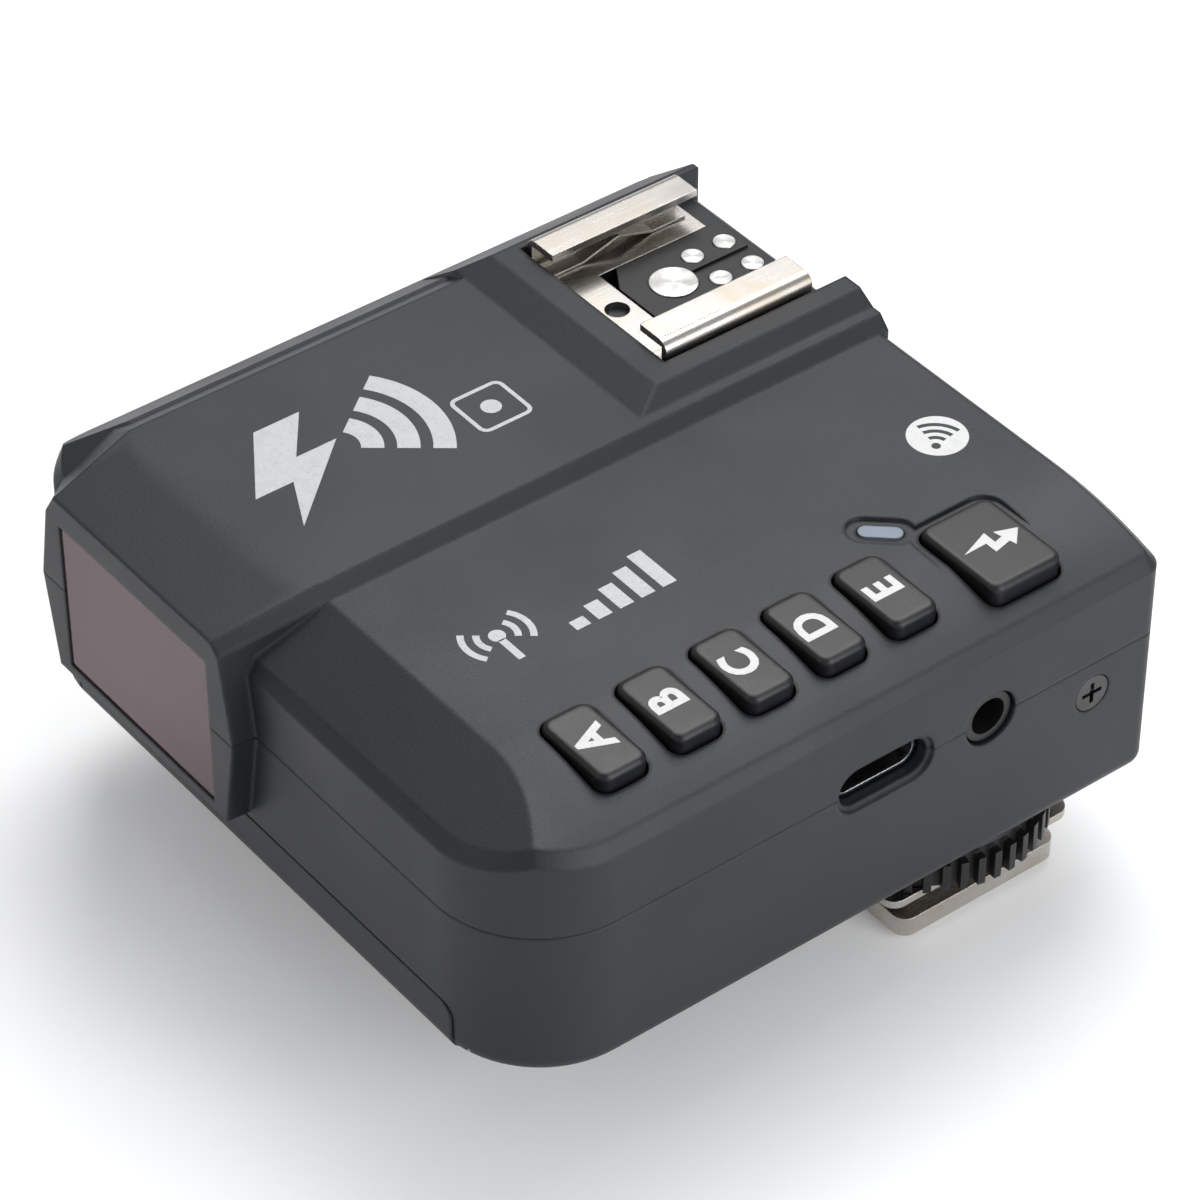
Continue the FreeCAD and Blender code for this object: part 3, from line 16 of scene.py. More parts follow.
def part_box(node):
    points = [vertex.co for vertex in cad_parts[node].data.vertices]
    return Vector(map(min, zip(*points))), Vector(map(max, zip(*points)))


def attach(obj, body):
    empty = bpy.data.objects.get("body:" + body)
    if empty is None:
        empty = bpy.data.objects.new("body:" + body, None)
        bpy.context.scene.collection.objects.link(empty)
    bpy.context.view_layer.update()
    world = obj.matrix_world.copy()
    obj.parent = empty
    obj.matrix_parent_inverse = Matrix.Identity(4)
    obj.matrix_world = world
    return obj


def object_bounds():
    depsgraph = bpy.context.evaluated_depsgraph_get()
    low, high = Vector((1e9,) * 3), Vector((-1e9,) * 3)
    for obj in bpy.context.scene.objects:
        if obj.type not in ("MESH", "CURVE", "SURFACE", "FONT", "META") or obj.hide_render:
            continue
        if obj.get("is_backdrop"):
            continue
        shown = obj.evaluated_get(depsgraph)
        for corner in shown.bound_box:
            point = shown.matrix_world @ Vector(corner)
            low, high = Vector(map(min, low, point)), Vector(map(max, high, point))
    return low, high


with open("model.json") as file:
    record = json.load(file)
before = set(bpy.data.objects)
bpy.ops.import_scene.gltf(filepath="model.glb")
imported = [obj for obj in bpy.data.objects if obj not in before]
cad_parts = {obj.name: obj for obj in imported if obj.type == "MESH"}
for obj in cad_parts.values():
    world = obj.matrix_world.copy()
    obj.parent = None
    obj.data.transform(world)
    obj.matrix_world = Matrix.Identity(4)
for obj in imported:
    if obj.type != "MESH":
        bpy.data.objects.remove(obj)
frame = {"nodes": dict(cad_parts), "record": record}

MM = 0.001
cad_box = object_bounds()
nodes = frame["nodes"]
print("CAD box in mm:", [[round(v / MM, 1) for v in corner] for corner in cad_box])

# %% Measure the parts that later steps lean on
def low_high(part):
    """The lowest and highest corner of a part, in metres."""
    low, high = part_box(part)
    return Vector(low), Vector(high)


def middle(part):
    low, high = low_high(part)
    return (low + high) / 2


case_low, case_high = low_high("top_shell")
floor_z = cad_box[0][2] - 0.1 * MM
key_top = low_high("key_a")[1].z
print("middle of key a in mm:", [round(v / MM, 2) for v in middle("key_a")])

# %% [markdown]
# ## The camera and the light
# A long lens from above the socket side's front corner shows the top, the lamp window and the sockets
# at once, with almost parallel edges. The box is black, so what the eye reads is mostly reflection:
# one large soft light behind and above draws the top's broad sheen, a second one at the socket side
# lifts that wall to grey, and a weak one at the front keeps the window's slope readable. A pale floor
# and a nearly white world do the rest.

# %% Set up the camera
LENS = 147.0
SENSOR = 36.0
camera_data = bpy.data.cameras.new("camera")
camera_data.lens = LENS
camera_data.sensor_width = SENSOR
camera_data.clip_start = 0.01
camera = bpy.data.objects.new("camera", camera_data)
camera.location = (0.23562, -0.21725, 0.29977)
camera.rotation_euler = (math.radians(49.6), 0.0, math.radians(52.3))
bpy.context.scene.collection.objects.link(camera)
bpy.context.scene.camera = camera
print("camera", round(camera.location.length, 3), "m from the foot")

# %% Set up the lights and the world
def soft_light(name, place, target, wide, watts, colour=(1.0, 1.0, 1.0)):
    """A square area light that faces a point."""
    data = bpy.data.lights.new(name, "AREA")
    data.shape = "SQUARE"
    data.size = wide
    data.energy = watts
    data.color = colour
    light = bpy.data.objects.new(name, data)
    light.location = place
    aim = Vector(target) - Vector(place)
    light.rotation_euler = aim.to_track_quat("-Z", "Y").to_euler()
    bpy.context.scene.collection.objects.link(light)
    return light


heart = (case_low + case_high) / 2
soft_light("light_above", heart + Vector((-0.18, 0.22, 0.50)), heart, 0.42, 2.9)
soft_light("light_sockets", heart + Vector((0.55, 0.12, 0.16)), heart, 0.40, 2.6, (0.97, 0.985, 1.0))
soft_light("light_front", heart + Vector((-0.10, -0.55, 0.30)), heart, 0.35, 0.35)
world = bpy.data.worlds.new("world")
world.use_nodes = True
world.node_tree.nodes["Background"].inputs["Color"].default_value = (0.96, 0.97, 1.0, 1.0)
world.node_tree.nodes["Background"].inputs["Strength"].default_value = 0.50
bpy.context.scene.world = world
bpy.context.scene.view_settings.view_transform = "Standard"

# %% [markdown]
# ## A small language for materials
# Node trees are tedious to write out link by link, so two short classes carry the whole file. A
# `Field` wraps one socket and can be added and multiplied like a number, and a `Finish` is
# one material that makes nodes on request. Patterns read Object coordinates, which are the model's own
# metres here, so a scale of 4000 on a noise means grains of a quarter of a millimetre.

# %% Wrap a socket so that it takes part in sums
class Field:
    """One socket of a finish, with arithmetic on it."""

    def __init__(self, finish, socket):
        self.finish = finish
        self.socket = socket

    def math(self, operation, first, second):
        return self.finish.node("ShaderNodeMath", {"operation": operation}, {0: first, 1: second})

    def __add__(self, other):
        return self.math("ADD", self, other)

    def __sub__(self, other):
        return self.math("SUBTRACT", self, other)

    def __rsub__(self, other):
        return self.math("SUBTRACT", other, self)

    def __mul__(self, other):
        return self.math("MULTIPLY", self, other)

    def __mod__(self, other):
        return self.math("FLOORED_MODULO", self, other)

    __radd__ = __add__
    __rmul__ = __mul__

    def lowest(self, other):
        return self.math("MINIMUM", self, other)

    def highest(self, other):
        return self.math("MAXIMUM", self, other)

    def sine(self):
        return self.math("SINE", self, 0.0)


# %% Build a material through one method
class Finish:
    """A material whose nodes are made one call at a time."""

    def __init__(self, name, **constants):
        self.material = bpy.data.materials.new(name)
        self.material.use_nodes = True
        self.tree = self.material.node_tree
        self.shader = self.tree.nodes["Principled BSDF"]
        for socket, value in constants.items():
            self.shader.inputs[socket.replace("_", " ")].default_value = value

    def put(self, socket, value):
        """Gives a socket a value or a link."""
        if isinstance(value, Field):
            self.tree.links.new(value.socket, socket)
        elif isinstance(value, (tuple, list)) and len(value) == 3 and socket.type == "RGBA":
            socket.default_value = (*value, 1.0)
        else:
            socket.default_value = value

    def node(self, kind, settings=None, sockets=None, output=0):
        made = self.tree.nodes.new(kind)
        for name, value in (settings or {}).items():
            setattr(made, name, value)
        for name, value in (sockets or {}).items():
            self.put(made.inputs[name], value)
        return Field(self, made.outputs[output])

    def drive(self, **sockets):
        """Feeds the shader's own sockets."""
        for name, value in sockets.items():
            self.put(self.shader.inputs[name.replace("_", " ")], value)
        return self.material

    def place(self, stretch=(1.0, 1.0, 1.0), centre=(0.0, 0.0, 0.0)):
        """Object coordinates, measured from a centre and stretched."""
        own = self.node("ShaderNodeTexCoord", output="Object")
        moved = self.node("ShaderNodeVectorMath", {"operation": "SUBTRACT"}, {0: own, 1: centre})
        return self.node("ShaderNodeVectorMath", {"operation": "MULTIPLY"}, {0: moved, 1: stretch})

    def noise(self, scale, detail=2.0, roughness=0.5, at=None):
        return self.node("ShaderNodeTexNoise", None,
                         {"Vector": at or self.place(), "Scale": scale, "Detail": detail,
                          "Roughness": roughness}, "Fac")

    def cells(self, scale):
        return self.node("ShaderNodeTexVoronoi", {"feature": "F1"},
                         {"Vector": self.place(), "Scale": scale}, "Distance")

    def spread(self, value, low, high, to_low=0.0, to_high=1.0):
        """Maps a range of a field onto another one, and clamps it."""
        return self.node("ShaderNodeMapRange", {"clamp": True},
                         {"Value": value, "From Min": low, "From Max": high,
                          "To Min": to_low, "To Max": to_high})

    def blend(self, share, first, second):
        """Mixes two colours."""
        return self.node("ShaderNodeMix", {"data_type": "RGBA"},
                         {"Factor": share, 6: first, 7: second}, 2)

    def rounded(self, radius):
        """The surface's normal, as if its edges had this radius."""
        return self.node("ShaderNodeBevel", {"samples": 4}, {"Radius": radius}, "Normal")

    def bump(self, height, depth, normal=None):
        links = {"Height": height, "Distance": depth, "Strength": 1.0}
        if normal:
            links["Normal"] = normal
        return self.node("ShaderNodeBump", None, links, "Normal")

    def edges(self, rounded_normal):
        """1 along the edges, where the rounded normal leaves the true one, and 0 on the flats."""
        true_normal = self.node("ShaderNodeNewGeometry", output="Normal")
        along = self.node("ShaderNodeVectorMath", {"operation": "DOT_PRODUCT"},
                          {0: rounded_normal, 1: true_normal}, "Value")
        return self.spread((1.0 - along) * 3.0, 0.0, 1.0)


print("material tools ready")

# %% [markdown]
# ## Moulded plastic
# The casing is charcoal ABS from a spark-eroded mould. Such a mould leaves a fine, even grain, which
# breaks the reflections up into a soft sheen. Two noises make it: one at a fifth of a millimetre for
# the grain and one at centimetres for slight differences in gloss, as hands leave them. The edges are
# rounded in the shader, and a little paler where they rub. The wheel and the sliding knobs are the
# same plastic in a deeper black with their own grain, so one function serves all of them.

# %% Make the moulded plastics
EDGE_RUB = 0.35


def moulded(name, colour, roughness, grain_size, grain_depth, edge_radius):
    """Grained plastic: the grain's size and depth and the edge's radius are in metres."""
    finish = Finish(name, Roughness=roughness, Specular_IOR_Level=0.36)
    grain = finish.noise(1.0 / grain_size, detail=3.0, roughness=0.6)
    handled = finish.noise(70.0, detail=2.0)
    flow = finish.noise(900.0, detail=2.0)
    eased = finish.rounded(edge_radius)
    rubbed = finish.edges(eased) * finish.spread(finish.noise(420.0), 0.35, 0.7)
    deep = tuple(0.82 * c for c in colour)
    pale = tuple(min(1.0, 2.6 * c + 0.01) for c in colour)
    speckled = finish.blend(finish.spread(grain * 0.7 + flow * 0.3, 0.35, 0.65), deep, colour)
    return finish.drive(
        Base_Color=finish.blend(rubbed * EDGE_RUB, speckled, pale),
        Roughness=finish.spread(handled * 0.6 + grain * 0.4, 0.3, 0.7, roughness - 0.07, roughness + 0.07),
        Normal=finish.bump(grain, grain_depth, normal=eased),
    )


finishes = {
    "casing": moulded("casing_grained_abs", (0.0115, 0.0130, 0.0150), 0.46, 0.22 * MM, 0.016 * MM,
                       0.55 * MM),
    "wheel_black": moulded("wheel_hard_black", (0.007, 0.0073, 0.008), 0.40, 0.35 * MM, 0.008 * MM,
                            0.14 * MM),
    "black_plastic": moulded("plain_black_moulding", (0.008, 0.0083, 0.009), 0.42, 0.30 * MM, 0.010 * MM,
                             0.12 * MM),
}
print("plastics:", sorted(finishes))

# %% [markdown]
# ## Satin keys
# The key caps are smoother than the casing, so each one shows a clean gradient across its top and a
# bright line along its rounded rim. What keeps them from looking like computer plastic is dirt: a
# faint film that dulls the gloss in blotches, and a few hair-fine scratches, which are noise squeezed
# thin in one direction and cut off so that only its crests are left.

# %% Make the keys' plastic
def satin_key(name, colour, roughness):
    finish = Finish(name, Roughness=roughness, Specular_IOR_Level=0.36)
    film = finish.noise(260.0, detail=4.0, roughness=0.65)
    fine = finish.noise(5200.0, detail=2.0)
    scratch = finish.noise(1500.0, detail=1.0, at=finish.place((1.0, 14.0, 1.0)))
    scratched = finish.spread(scratch, 0.68, 0.74)
    eased = finish.rounded(0.45 * MM)
    worn = tuple(3.0 * c + 0.004 for c in colour)
    return finish.drive(
        Base_Color=finish.blend(scratched * 0.4 + finish.edges(eased) * 0.25, colour, worn),
        Roughness=finish.spread(film, 0.3, 0.75, roughness - 0.03, roughness + 0.05) + scratched * 0.06,
        Normal=finish.bump(fine + scratched * 0.6, 0.003 * MM, normal=eased),
    )


finishes["key_black"] = satin_key("satin_black_key", (0.0060, 0.0063, 0.0070), 0.30)
print("keys:", finishes["key_black"].name)

# %% [markdown]
# ## Metals
# The shoe is nickel-plated spring steel, rolled before it was bent, so its shine is drawn out along
# the rolling direction. That is a noise stretched fifty times along one axis, used for both roughness
# and a shallow bump. Years of sliding flashes in and out leave scratches in the same direction, and
# plating dulls slightly yellow in patches. Screws, pins and shields take the same recipe with other
# colours and directions.

# %% Make the rolled and plated metals
def rolled_metal(name, colour, roughness, along, tarnish=(0.86, 0.80, 0.70), edge=0.12 * MM):
    """A metal with its streaks drawn out along one axis, 0 for X, 1 for Y and 2 for Z."""
    finish = Finish(name, Metallic=1.0, Roughness=roughness)
    stretch = [1.0, 1.0, 1.0]
    stretch[along] = 0.02
    streaks = finish.noise(5000.0, detail=3.0, at=finish.place(tuple(stretch)))
    stretch[along] = 0.05
    scratches = finish.spread(finish.noise(2600.0, detail=1.0, at=finish.place(tuple(stretch))), 0.66, 0.70)
    patches = finish.noise(240.0, detail=4.0)
    eased = finish.rounded(edge)
    dulled = tuple(c * t for c, t in zip(colour, tarnish))
    plated = finish.blend(finish.spread(patches, 0.42, 0.72), colour, dulled)
    bright = tuple(min(1.0, 1.15 * c) for c in colour)
    return finish.drive(
        Base_Color=finish.blend(scratches * 0.5, plated, bright),
        Roughness=finish.spread(streaks * 0.3 + patches * 0.7, 0.3, 0.7,
                                roughness - 0.03, roughness + 0.05),
        Normal=finish.bump(streaks * 0.6 + scratches * 0.8, 0.0009 * MM, normal=eased),
    )


finishes["nickel"] = rolled_metal("nickel_plated_spring_steel", (0.52, 0.50, 0.475), 0.26, 1)
finishes["steel"] = rolled_metal("bright_steel", (0.50, 0.51, 0.53), 0.22, 1, tarnish=(0.9, 0.88, 0.84))
finishes["brass"] = rolled_metal("gilded_pin", (0.83, 0.62, 0.27), 0.20, 2, tarnish=(0.9, 0.8, 0.7))
finishes["screw_black"] = rolled_metal("blackened_screw", (0.085, 0.087, 0.092), 0.38, 2, edge=0.10 * MM)
finishes["mirror_cup"] = rolled_metal("reflector_cup", (0.80, 0.80, 0.80), 0.10, 1)
print("metals:", [finishes[k].name for k in ("nickel", "steel", "brass", "screw_black", "mirror_cup")])

# %% [markdown]
# ## Turned contacts
# Each contact in the shoe is a turned disc, so its tool marks run in rings about its own middle, and a
# ring of light turns with them. The rings are a sine of the distance to the nearest disc's middle. The
# middles aren't typed in: the part is copied, its loose triangles are joined, and each separate piece of
# it gives one box.

# %% Find the separate pieces of a part
def islands(part):
    """The box of each separate solid of a part, largest first."""
    mesh = bmesh.new()
    mesh.from_mesh(nodes[part].data)
    bmesh.ops.remove_doubles(mesh, verts=mesh.verts, dist=0.001 * MM)
    mesh.verts.ensure_lookup_table()
    seen, boxes = set(), []
    for start in mesh.verts:
        if start.index in seen:
            continue
        seen.add(start.index)
        todo, found = [start], []
        while todo:
            vert = todo.pop()
            found.append(vert.co.copy())
            for edge in vert.link_edges:
                other = edge.other_vert(vert)
                if other.index not in seen:
                    seen.add(other.index)
                    todo.append(other)
        low = Vector([min(p[i] for p in found) for i in range(3)])
        high = Vector([max(p[i] for p in found) for i in range(3)])
        boxes.append((low, high))
    mesh.free()
    return sorted(boxes, key=lambda b: -(b[1] - b[0]).x)


contact_boxes = islands("shoe_contacts")
print("contact discs:", [round((b[1] - b[0]).x / MM, 2) for b in contact_boxes])

# %% Make the turned contacts' metal
def turned_metal(name, colour, boxes, ring_pitch):
    finish = Finish(name, Metallic=1.0, Roughness=0.22)
    nearest = None
    for low, high in boxes:
        centre = (low + high) / 2
        flat = finish.place((1.0, 1.0, 0.0), tuple(centre))
        distance = finish.node("ShaderNodeVectorMath", {"operation": "LENGTH"}, {0: flat}, "Value")
        nearest = distance if nearest is None else nearest.lowest(distance)
    wobble = finish.noise(1800.0, detail=2.0) * (0.35 * ring_pitch)
    rings = ((nearest + wobble) * (2 * math.pi / ring_pitch)).sine()
    scuffs = finish.spread(finish.noise(2400.0, detail=2.0, at=finish.place((1.0, 0.12, 1.0))), 0.58, 0.66)
    grime = finish.noise(700.0, detail=3.0)
    pale = finish.blend(finish.spread(grime, 0.45, 0.75), colour, tuple(0.72 * c for c in colour))
    return finish.drive(
        Base_Color=finish.blend(scuffs * 0.4, pale, (0.66, 0.65, 0.63)),
        Roughness=finish.spread(rings * 0.3 + grime, 0.2, 1.0, 0.16, 0.42),
        Normal=finish.bump(rings + scuffs * 1.6, 0.004 * MM, normal=finish.rounded(0.10 * MM)),
    )


finishes["contact"] = turned_metal("turned_contact_metal", (0.50, 0.495, 0.48), contact_boxes, 0.16 * MM)
print("contacts:", finishes["contact"].name)

# %% [markdown]
# ## Windows, lamp and display
# The lamp window is a dark red filter, so it looks almost plum where it mirrors a pale room. It is
# mostly opaque: a low alpha would show the lamp room too plainly. The display's cover is smoked and
# clearer, and the display itself has a fine grid of pixels, which is two ramps of the position repeated
# by a modulo. All of them get a trace of dust, without which clear plastic looks like nothing.

# %% Make the clear and tinted plastics
def tinted(name, colour, alpha, roughness, haze=0.05):
    """Tinted plastic, seen through by its alpha, with dust and wiping marks."""
    finish = Finish(name, IOR=1.49, Roughness=roughness, Specular_IOR_Level=0.6)
    dust = finish.spread(finish.noise(5200.0, detail=2.0), 0.70, 0.78)
    wiped = finish.noise(420.0, detail=3.0, at=finish.place((1.0, 1.0, 0.25)))
    dusty = tuple(min(1.0, c + 0.10) for c in colour)
    eased = finish.rounded(0.2 * MM)
    return finish.drive(
        Base_Color=finish.blend(dust * haze * 4.0, colour, dusty),
        Roughness=finish.spread(wiped, 0.3, 0.75, roughness, roughness + 0.09),
        Alpha=finish.spread(dust * 0.08 + alpha, 0.0, 1.0),
        Normal=finish.bump(wiped, 0.0006 * MM, normal=eased),
    )


finishes["window_red"] = tinted("dark_red_filter", (0.085, 0.030, 0.044), 0.80, 0.10)
finishes["window_clear"] = tinted("smoked_display_cover", (0.016, 0.018, 0.020), 0.22, 0.06)
finishes["lamp"] = tinted("red_lamp_dome", (0.75, 0.10, 0.08), 0.85, 0.05)
finishes["light_pipe"] = tinted("milky_light_pipe", (0.145, 0.180, 0.235), 0.98, 0.30)
print("clear parts:", [finishes[k].name for k in ("window_red", "window_clear", "lamp", "light_pipe")])

# %% Make the display's pixel grid
def pixel_grid(name, colour, pitch):
    finish = Finish(name, Roughness=0.35)
    own = finish.place((1.0 / pitch, 1.0, 1.0 / pitch))
    across, up = (finish.node("ShaderNodeSeparateXYZ", None, {0: own}, axis) for axis in ("X", "Z"))
    lines = [finish.spread(position % 1.0, 0.80, 0.95) for position in (across, up)]
    cloud = finish.noise(90.0, detail=2.0)
    base = finish.blend(finish.spread(cloud, 0.3, 0.7), tuple(0.9 * c for c in colour), colour)
    grid = lines[0].highest(lines[1])
    return finish.drive(
        Base_Color=finish.blend(grid * 0.25, base, tuple(0.7 * c for c in colour)),
        Roughness=finish.spread(cloud, 0.3, 0.7, 0.28, 0.42),
        Normal=finish.bump(grid, 0.004 * MM),
    )


finishes["display"] = pixel_grid("display_panel", (0.30, 0.35, 0.30), 0.26 * MM)
print("display:", finishes["display"].name)

# %% [markdown]
# ## What is inside
# With the battery door open the cells and their bay show, and the boards belong to the model even if
# nobody sees them. A board is green solder mask over copper: tracks are the thin borders of large
# square cells, and pads are small bright dots on a grid. A cell has a printed wrap with a pale band
# near its positive end and bare steel at both ends, which a few ramps along its length give.

# %% Make the board and the cell wrap
def solder_mask(name):
    finish = Finish(name, Roughness=0.32, IOR=1.5)
    tracks = finish.node("ShaderNodeTexVoronoi", {"feature": "DISTANCE_TO_EDGE"},
                         {"Vector": finish.place((1.0, 0.5, 1.0)), "Scale": 480.0, "Randomness": 0.55},
                         "Distance")
    line = finish.spread(tracks, 0.05, 0.09, 1.0, 0.0)
    pads = finish.spread(finish.cells(700.0), 0.13, 0.16, 1.0, 0.0)
    weave = finish.noise(2600.0, detail=2.0)
    mask = finish.blend(finish.spread(weave, 0.3, 0.7), (0.010, 0.075, 0.035), (0.014, 0.095, 0.045))
    tracked = finish.blend(line * 0.7, mask, (0.03, 0.17, 0.075))
    return finish.drive(
        Base_Color=finish.blend(pads, tracked, (0.72, 0.70, 0.62)),
        Metallic=pads * 0.9,
        Roughness=finish.spread(weave, 0.3, 0.7, 0.26, 0.40),
        Normal=finish.bump(line + weave * 0.3, 0.02 * MM, normal=finish.rounded(0.1 * MM)),
    )


def cell_wrap(name, cell_low, cell_high):
    finish = Finish(name, Roughness=0.3, IOR=1.5)
    split = finish.node("ShaderNodeSeparateXYZ", None, {0: finish.place()}, "X")
    long = cell_high.x - cell_low.x
    bare = finish.spread(split, cell_high.x - 0.030 * long, cell_high.x - 0.028 * long)
    bare = bare + finish.spread(split, cell_low.x + 0.020 * long, cell_low.x + 0.022 * long, 1.0, 0.0)
    band = finish.spread(split, cell_high.x - 0.30 * long, cell_high.x - 0.295 * long)
    scuffs = finish.spread(finish.noise(900.0, detail=4.0), 0.62, 0.72)
    printed = finish.blend(band, (0.035, 0.040, 0.050), (0.42, 0.25, 0.12))
    wrap = finish.blend(scuffs * 0.3, printed, (0.35, 0.34, 0.33))
    return finish.drive(
        Base_Color=finish.blend(bare, wrap, (0.66, 0.66, 0.67)),
        Metallic=bare,
        Roughness=finish.spread(finish.noise(300.0, detail=3.0), 0.3, 0.7, 0.2, 0.4),
        Normal=finish.bump(scuffs, 0.008 * MM, normal=finish.rounded(0.3 * MM)),
    )


finishes["board"] = solder_mask("green_solder_mask")
finishes["cell"] = cell_wrap("wrapped_cell", *low_high("aa_cells"))
print("inside:", finishes["board"].name, finishes["cell"].name)

# %% [markdown]
# ## Dress the parts
# The frame's parts arrive as loose triangles, which shade like a cut stone. Their shapes mustn't be
# touched, so each part gets two modifiers instead: a small node tree that joins the triangles, keeps the
# edges sharp that really are, and sets the material, and a weighted normal that keeps large flats flat.

# %% Build the tree that joins and smooths a part
def new_tree(name):
    tree = bpy.data.node_groups.new(name, "GeometryNodeTree")
    tree.is_modifier = True
    tree.interface.new_socket("Geometry", in_out="INPUT", socket_type="NodeSocketGeometry")
    tree.interface.new_socket("Geometry", in_out="OUTPUT", socket_type="NodeSocketGeometry")
    return tree


def add_input(tree, name, kind, default=None):
    made = tree.interface.new_socket(name, in_out="INPUT", socket_type=kind)
    if default is not None:
        made.default_value = default


def geometry_node(tree, kind, settings=None, sockets=None):
    """Makes a node; a socket's value may be a value or another node's output."""
    made = tree.nodes.new(kind)
    for name, value in (settings or {}).items():
        setattr(made, name, value)
    for name, value in (sockets or {}).items():
        if isinstance(value, bpy.types.NodeSocket):
            tree.links.new(value, made.inputs[name])
        else:
            made.inputs[name].default_value = value
    return made


def finish_tree(tree, geometry, material):
    """Ends a tree the way the export wants it: real geometry, with its material set."""
    real = geometry_node(tree, "GeometryNodeRealizeInstances", None, {"Geometry": geometry})
    dressed = geometry_node(tree, "GeometryNodeSetMaterial", None,
                            {"Geometry": real.outputs["Geometry"], "Material": material})
    last = tree.nodes.new("NodeGroupOutput")
    tree.links.new(dressed.outputs["Geometry"], last.inputs["Geometry"])
    return tree


def set_inputs(modifier, values):
    """Sets a tree's inputs by their sockets' identifiers."""
    for item in modifier.node_group.interface.items_tree:
        if item.item_type == "SOCKET" and item.in_out == "INPUT" and item.name in values:
            modifier[item.identifier] = values[item.name]


def joining_tree():
    tree = new_tree("join_and_smooth")
    add_input(tree, "Join distance", "NodeSocketFloat", 0.001 * MM)
    add_input(tree, "Sharp angle", "NodeSocketFloat", math.radians(14))
    add_input(tree, "Material", "NodeSocketMaterial")
    given = tree.nodes.new("NodeGroupInput")
    plain = geometry_node(tree, "GeometryNodeRemoveAttribute", None,
                          {"Geometry": given.outputs["Geometry"], "Name": "custom_normal"})
    joined = geometry_node(tree, "GeometryNodeMergeByDistance", None,
                           {"Geometry": plain.outputs["Geometry"],
                            "Distance": given.outputs["Join distance"]})
    soft = geometry_node(tree, "GeometryNodeSetShadeSmooth", {"domain": "FACE"},
                         {"Geometry": joined.outputs["Geometry"], "Shade Smooth": True})
    angle = tree.nodes.new("GeometryNodeInputMeshEdgeAngle")
    sharp = geometry_node(tree, "FunctionNodeCompare", {"data_type": "FLOAT", "operation": "GREATER_THAN"},
                          {"A": angle.outputs["Unsigned Angle"], "B": given.outputs["Sharp angle"]})
    creased = geometry_node(tree, "GeometryNodeSetShadeSmooth", {"domain": "EDGE"},
                            {"Geometry": soft.outputs["Geometry"], "Selection": sharp.outputs["Result"],
                             "Shade Smooth": False})
    return finish_tree(tree, creased.outputs["Geometry"], given.outputs["Material"])


joining = joining_tree()
print("tree:", joining.name, "with", len(joining.nodes), "nodes")

# %% Give every part its finish and its smoothing
def dress(part, finish_name):
    piece = nodes[part]
    piece.data.materials.clear()
    piece.data.materials.append(finishes[finish_name])
    join = piece.modifiers.new("join", "NODES")
    join.node_group = joining
    set_inputs(join, {"Join distance": 0.001 * MM, "Sharp angle": math.radians(14),
                      "Material": finishes[finish_name]})
    even = piece.modifiers.new("even_flats", "WEIGHTED_NORMAL")
    even.keep_sharp = True
    even.weight = 60


for entry in frame["record"]["subparts"]:
    dress(entry["node"], entry["material_slot"])
print("dressed", len(nodes), "parts in", len(finishes), "finishes")

# %% [markdown]
# ## Printed marks
# The marks on the real casing are pad-printed: a film of silver-white ink, far too thin to feel. Paint
# in the material would do, but a mark that is its own thin piece keeps crisp edges from any distance.
# So each mark is drawn as outlines in its own plane, and raised by two hundredths of a millimetre. The
# ink isn't even: the casing's grain pushes through, so the film is speckled and slightly rough. The
# signs themselves are generic ones: a bolt with radio waves, a dot in a box, a mast with rising bars,
# and a disc with waves.

# %% Make the ink
def printed_ink(name, colour, speckle):
    finish = Finish(name, Roughness=0.5, Metallic=0.25)
    grain = finish.noise(6500.0, detail=2.0, roughness=0.7)
    gaps = finish.spread(grain, 0.60, 0.68) * speckle
    worn = finish.spread(finish.noise(800.0, detail=3.0), 0.45, 0.8)
    return finish.drive(
        Base_Color=finish.blend(gaps + worn * 0.12, colour, tuple(0.35 * c for c in colour)),
        Roughness=finish.spread(grain, 0.3, 0.7, 0.42, 0.62),
        Normal=finish.bump(grain, 0.012 * MM),
    )


silver_ink = printed_ink("silver_white_ink", (0.43, 0.44, 0.44), 0.45)
white_ink = printed_ink("white_ink", (0.55, 0.55, 0.55), 0.15)
dark_ink = printed_ink("dark_ink", (0.02, 0.022, 0.025), 0.1)
INK = 0.02 * MM
print("inks:", silver_ink.name, white_ink.name, dark_ink.name)

# %% Draw outlines
def arc_points(centre, radius, start, end, steps=20):
    """Points along an arc, in degrees."""
    turns = [math.radians(start + (end - start) * i / steps) for i in range(steps + 1)]
    return [(centre[0] + radius * math.cos(t), centre[1] + radius * math.sin(t)) for t in turns]


def wave(centre, inner, outer, start, end, steps=20):
    """One radio wave: a band between two arcs."""
    return arc_points(centre, outer, start, end, steps) + arc_points(centre, inner, end, start, steps)


def bar(left, low, wide, high):
    return [(left, low), (left + wide, low), (left + wide, low + high), (left, low + high)]


def ribbon(points, wide):
    """The outline of a bent line of one width, with mitred corners."""
    sides = ([], [])
    for i, point in enumerate(points):
        here = Vector(point)
        before = (here - Vector(points[i - 1])).normalized() if i else None
        after = (Vector(points[i + 1]) - here).normalized() if i + 1 < len(points) else None
        along = ((before or after) + (after or before)).normalized()
        across = Vector((-along.y, along.x))
        straight = before or after
        reach = wide / 2 / max(0.3, across.dot(Vector((-straight.y, straight.x))))
        sides[0].append(tuple(here + across * reach))
        sides[1].append(tuple(here - across * reach))
    return sides[0] + sides[1][::-1]


print("a bent line of 4 points has", len(ribbon([(0, 0), (1, 1), (2, 0), (3, 1)], 0.3)), "corners")

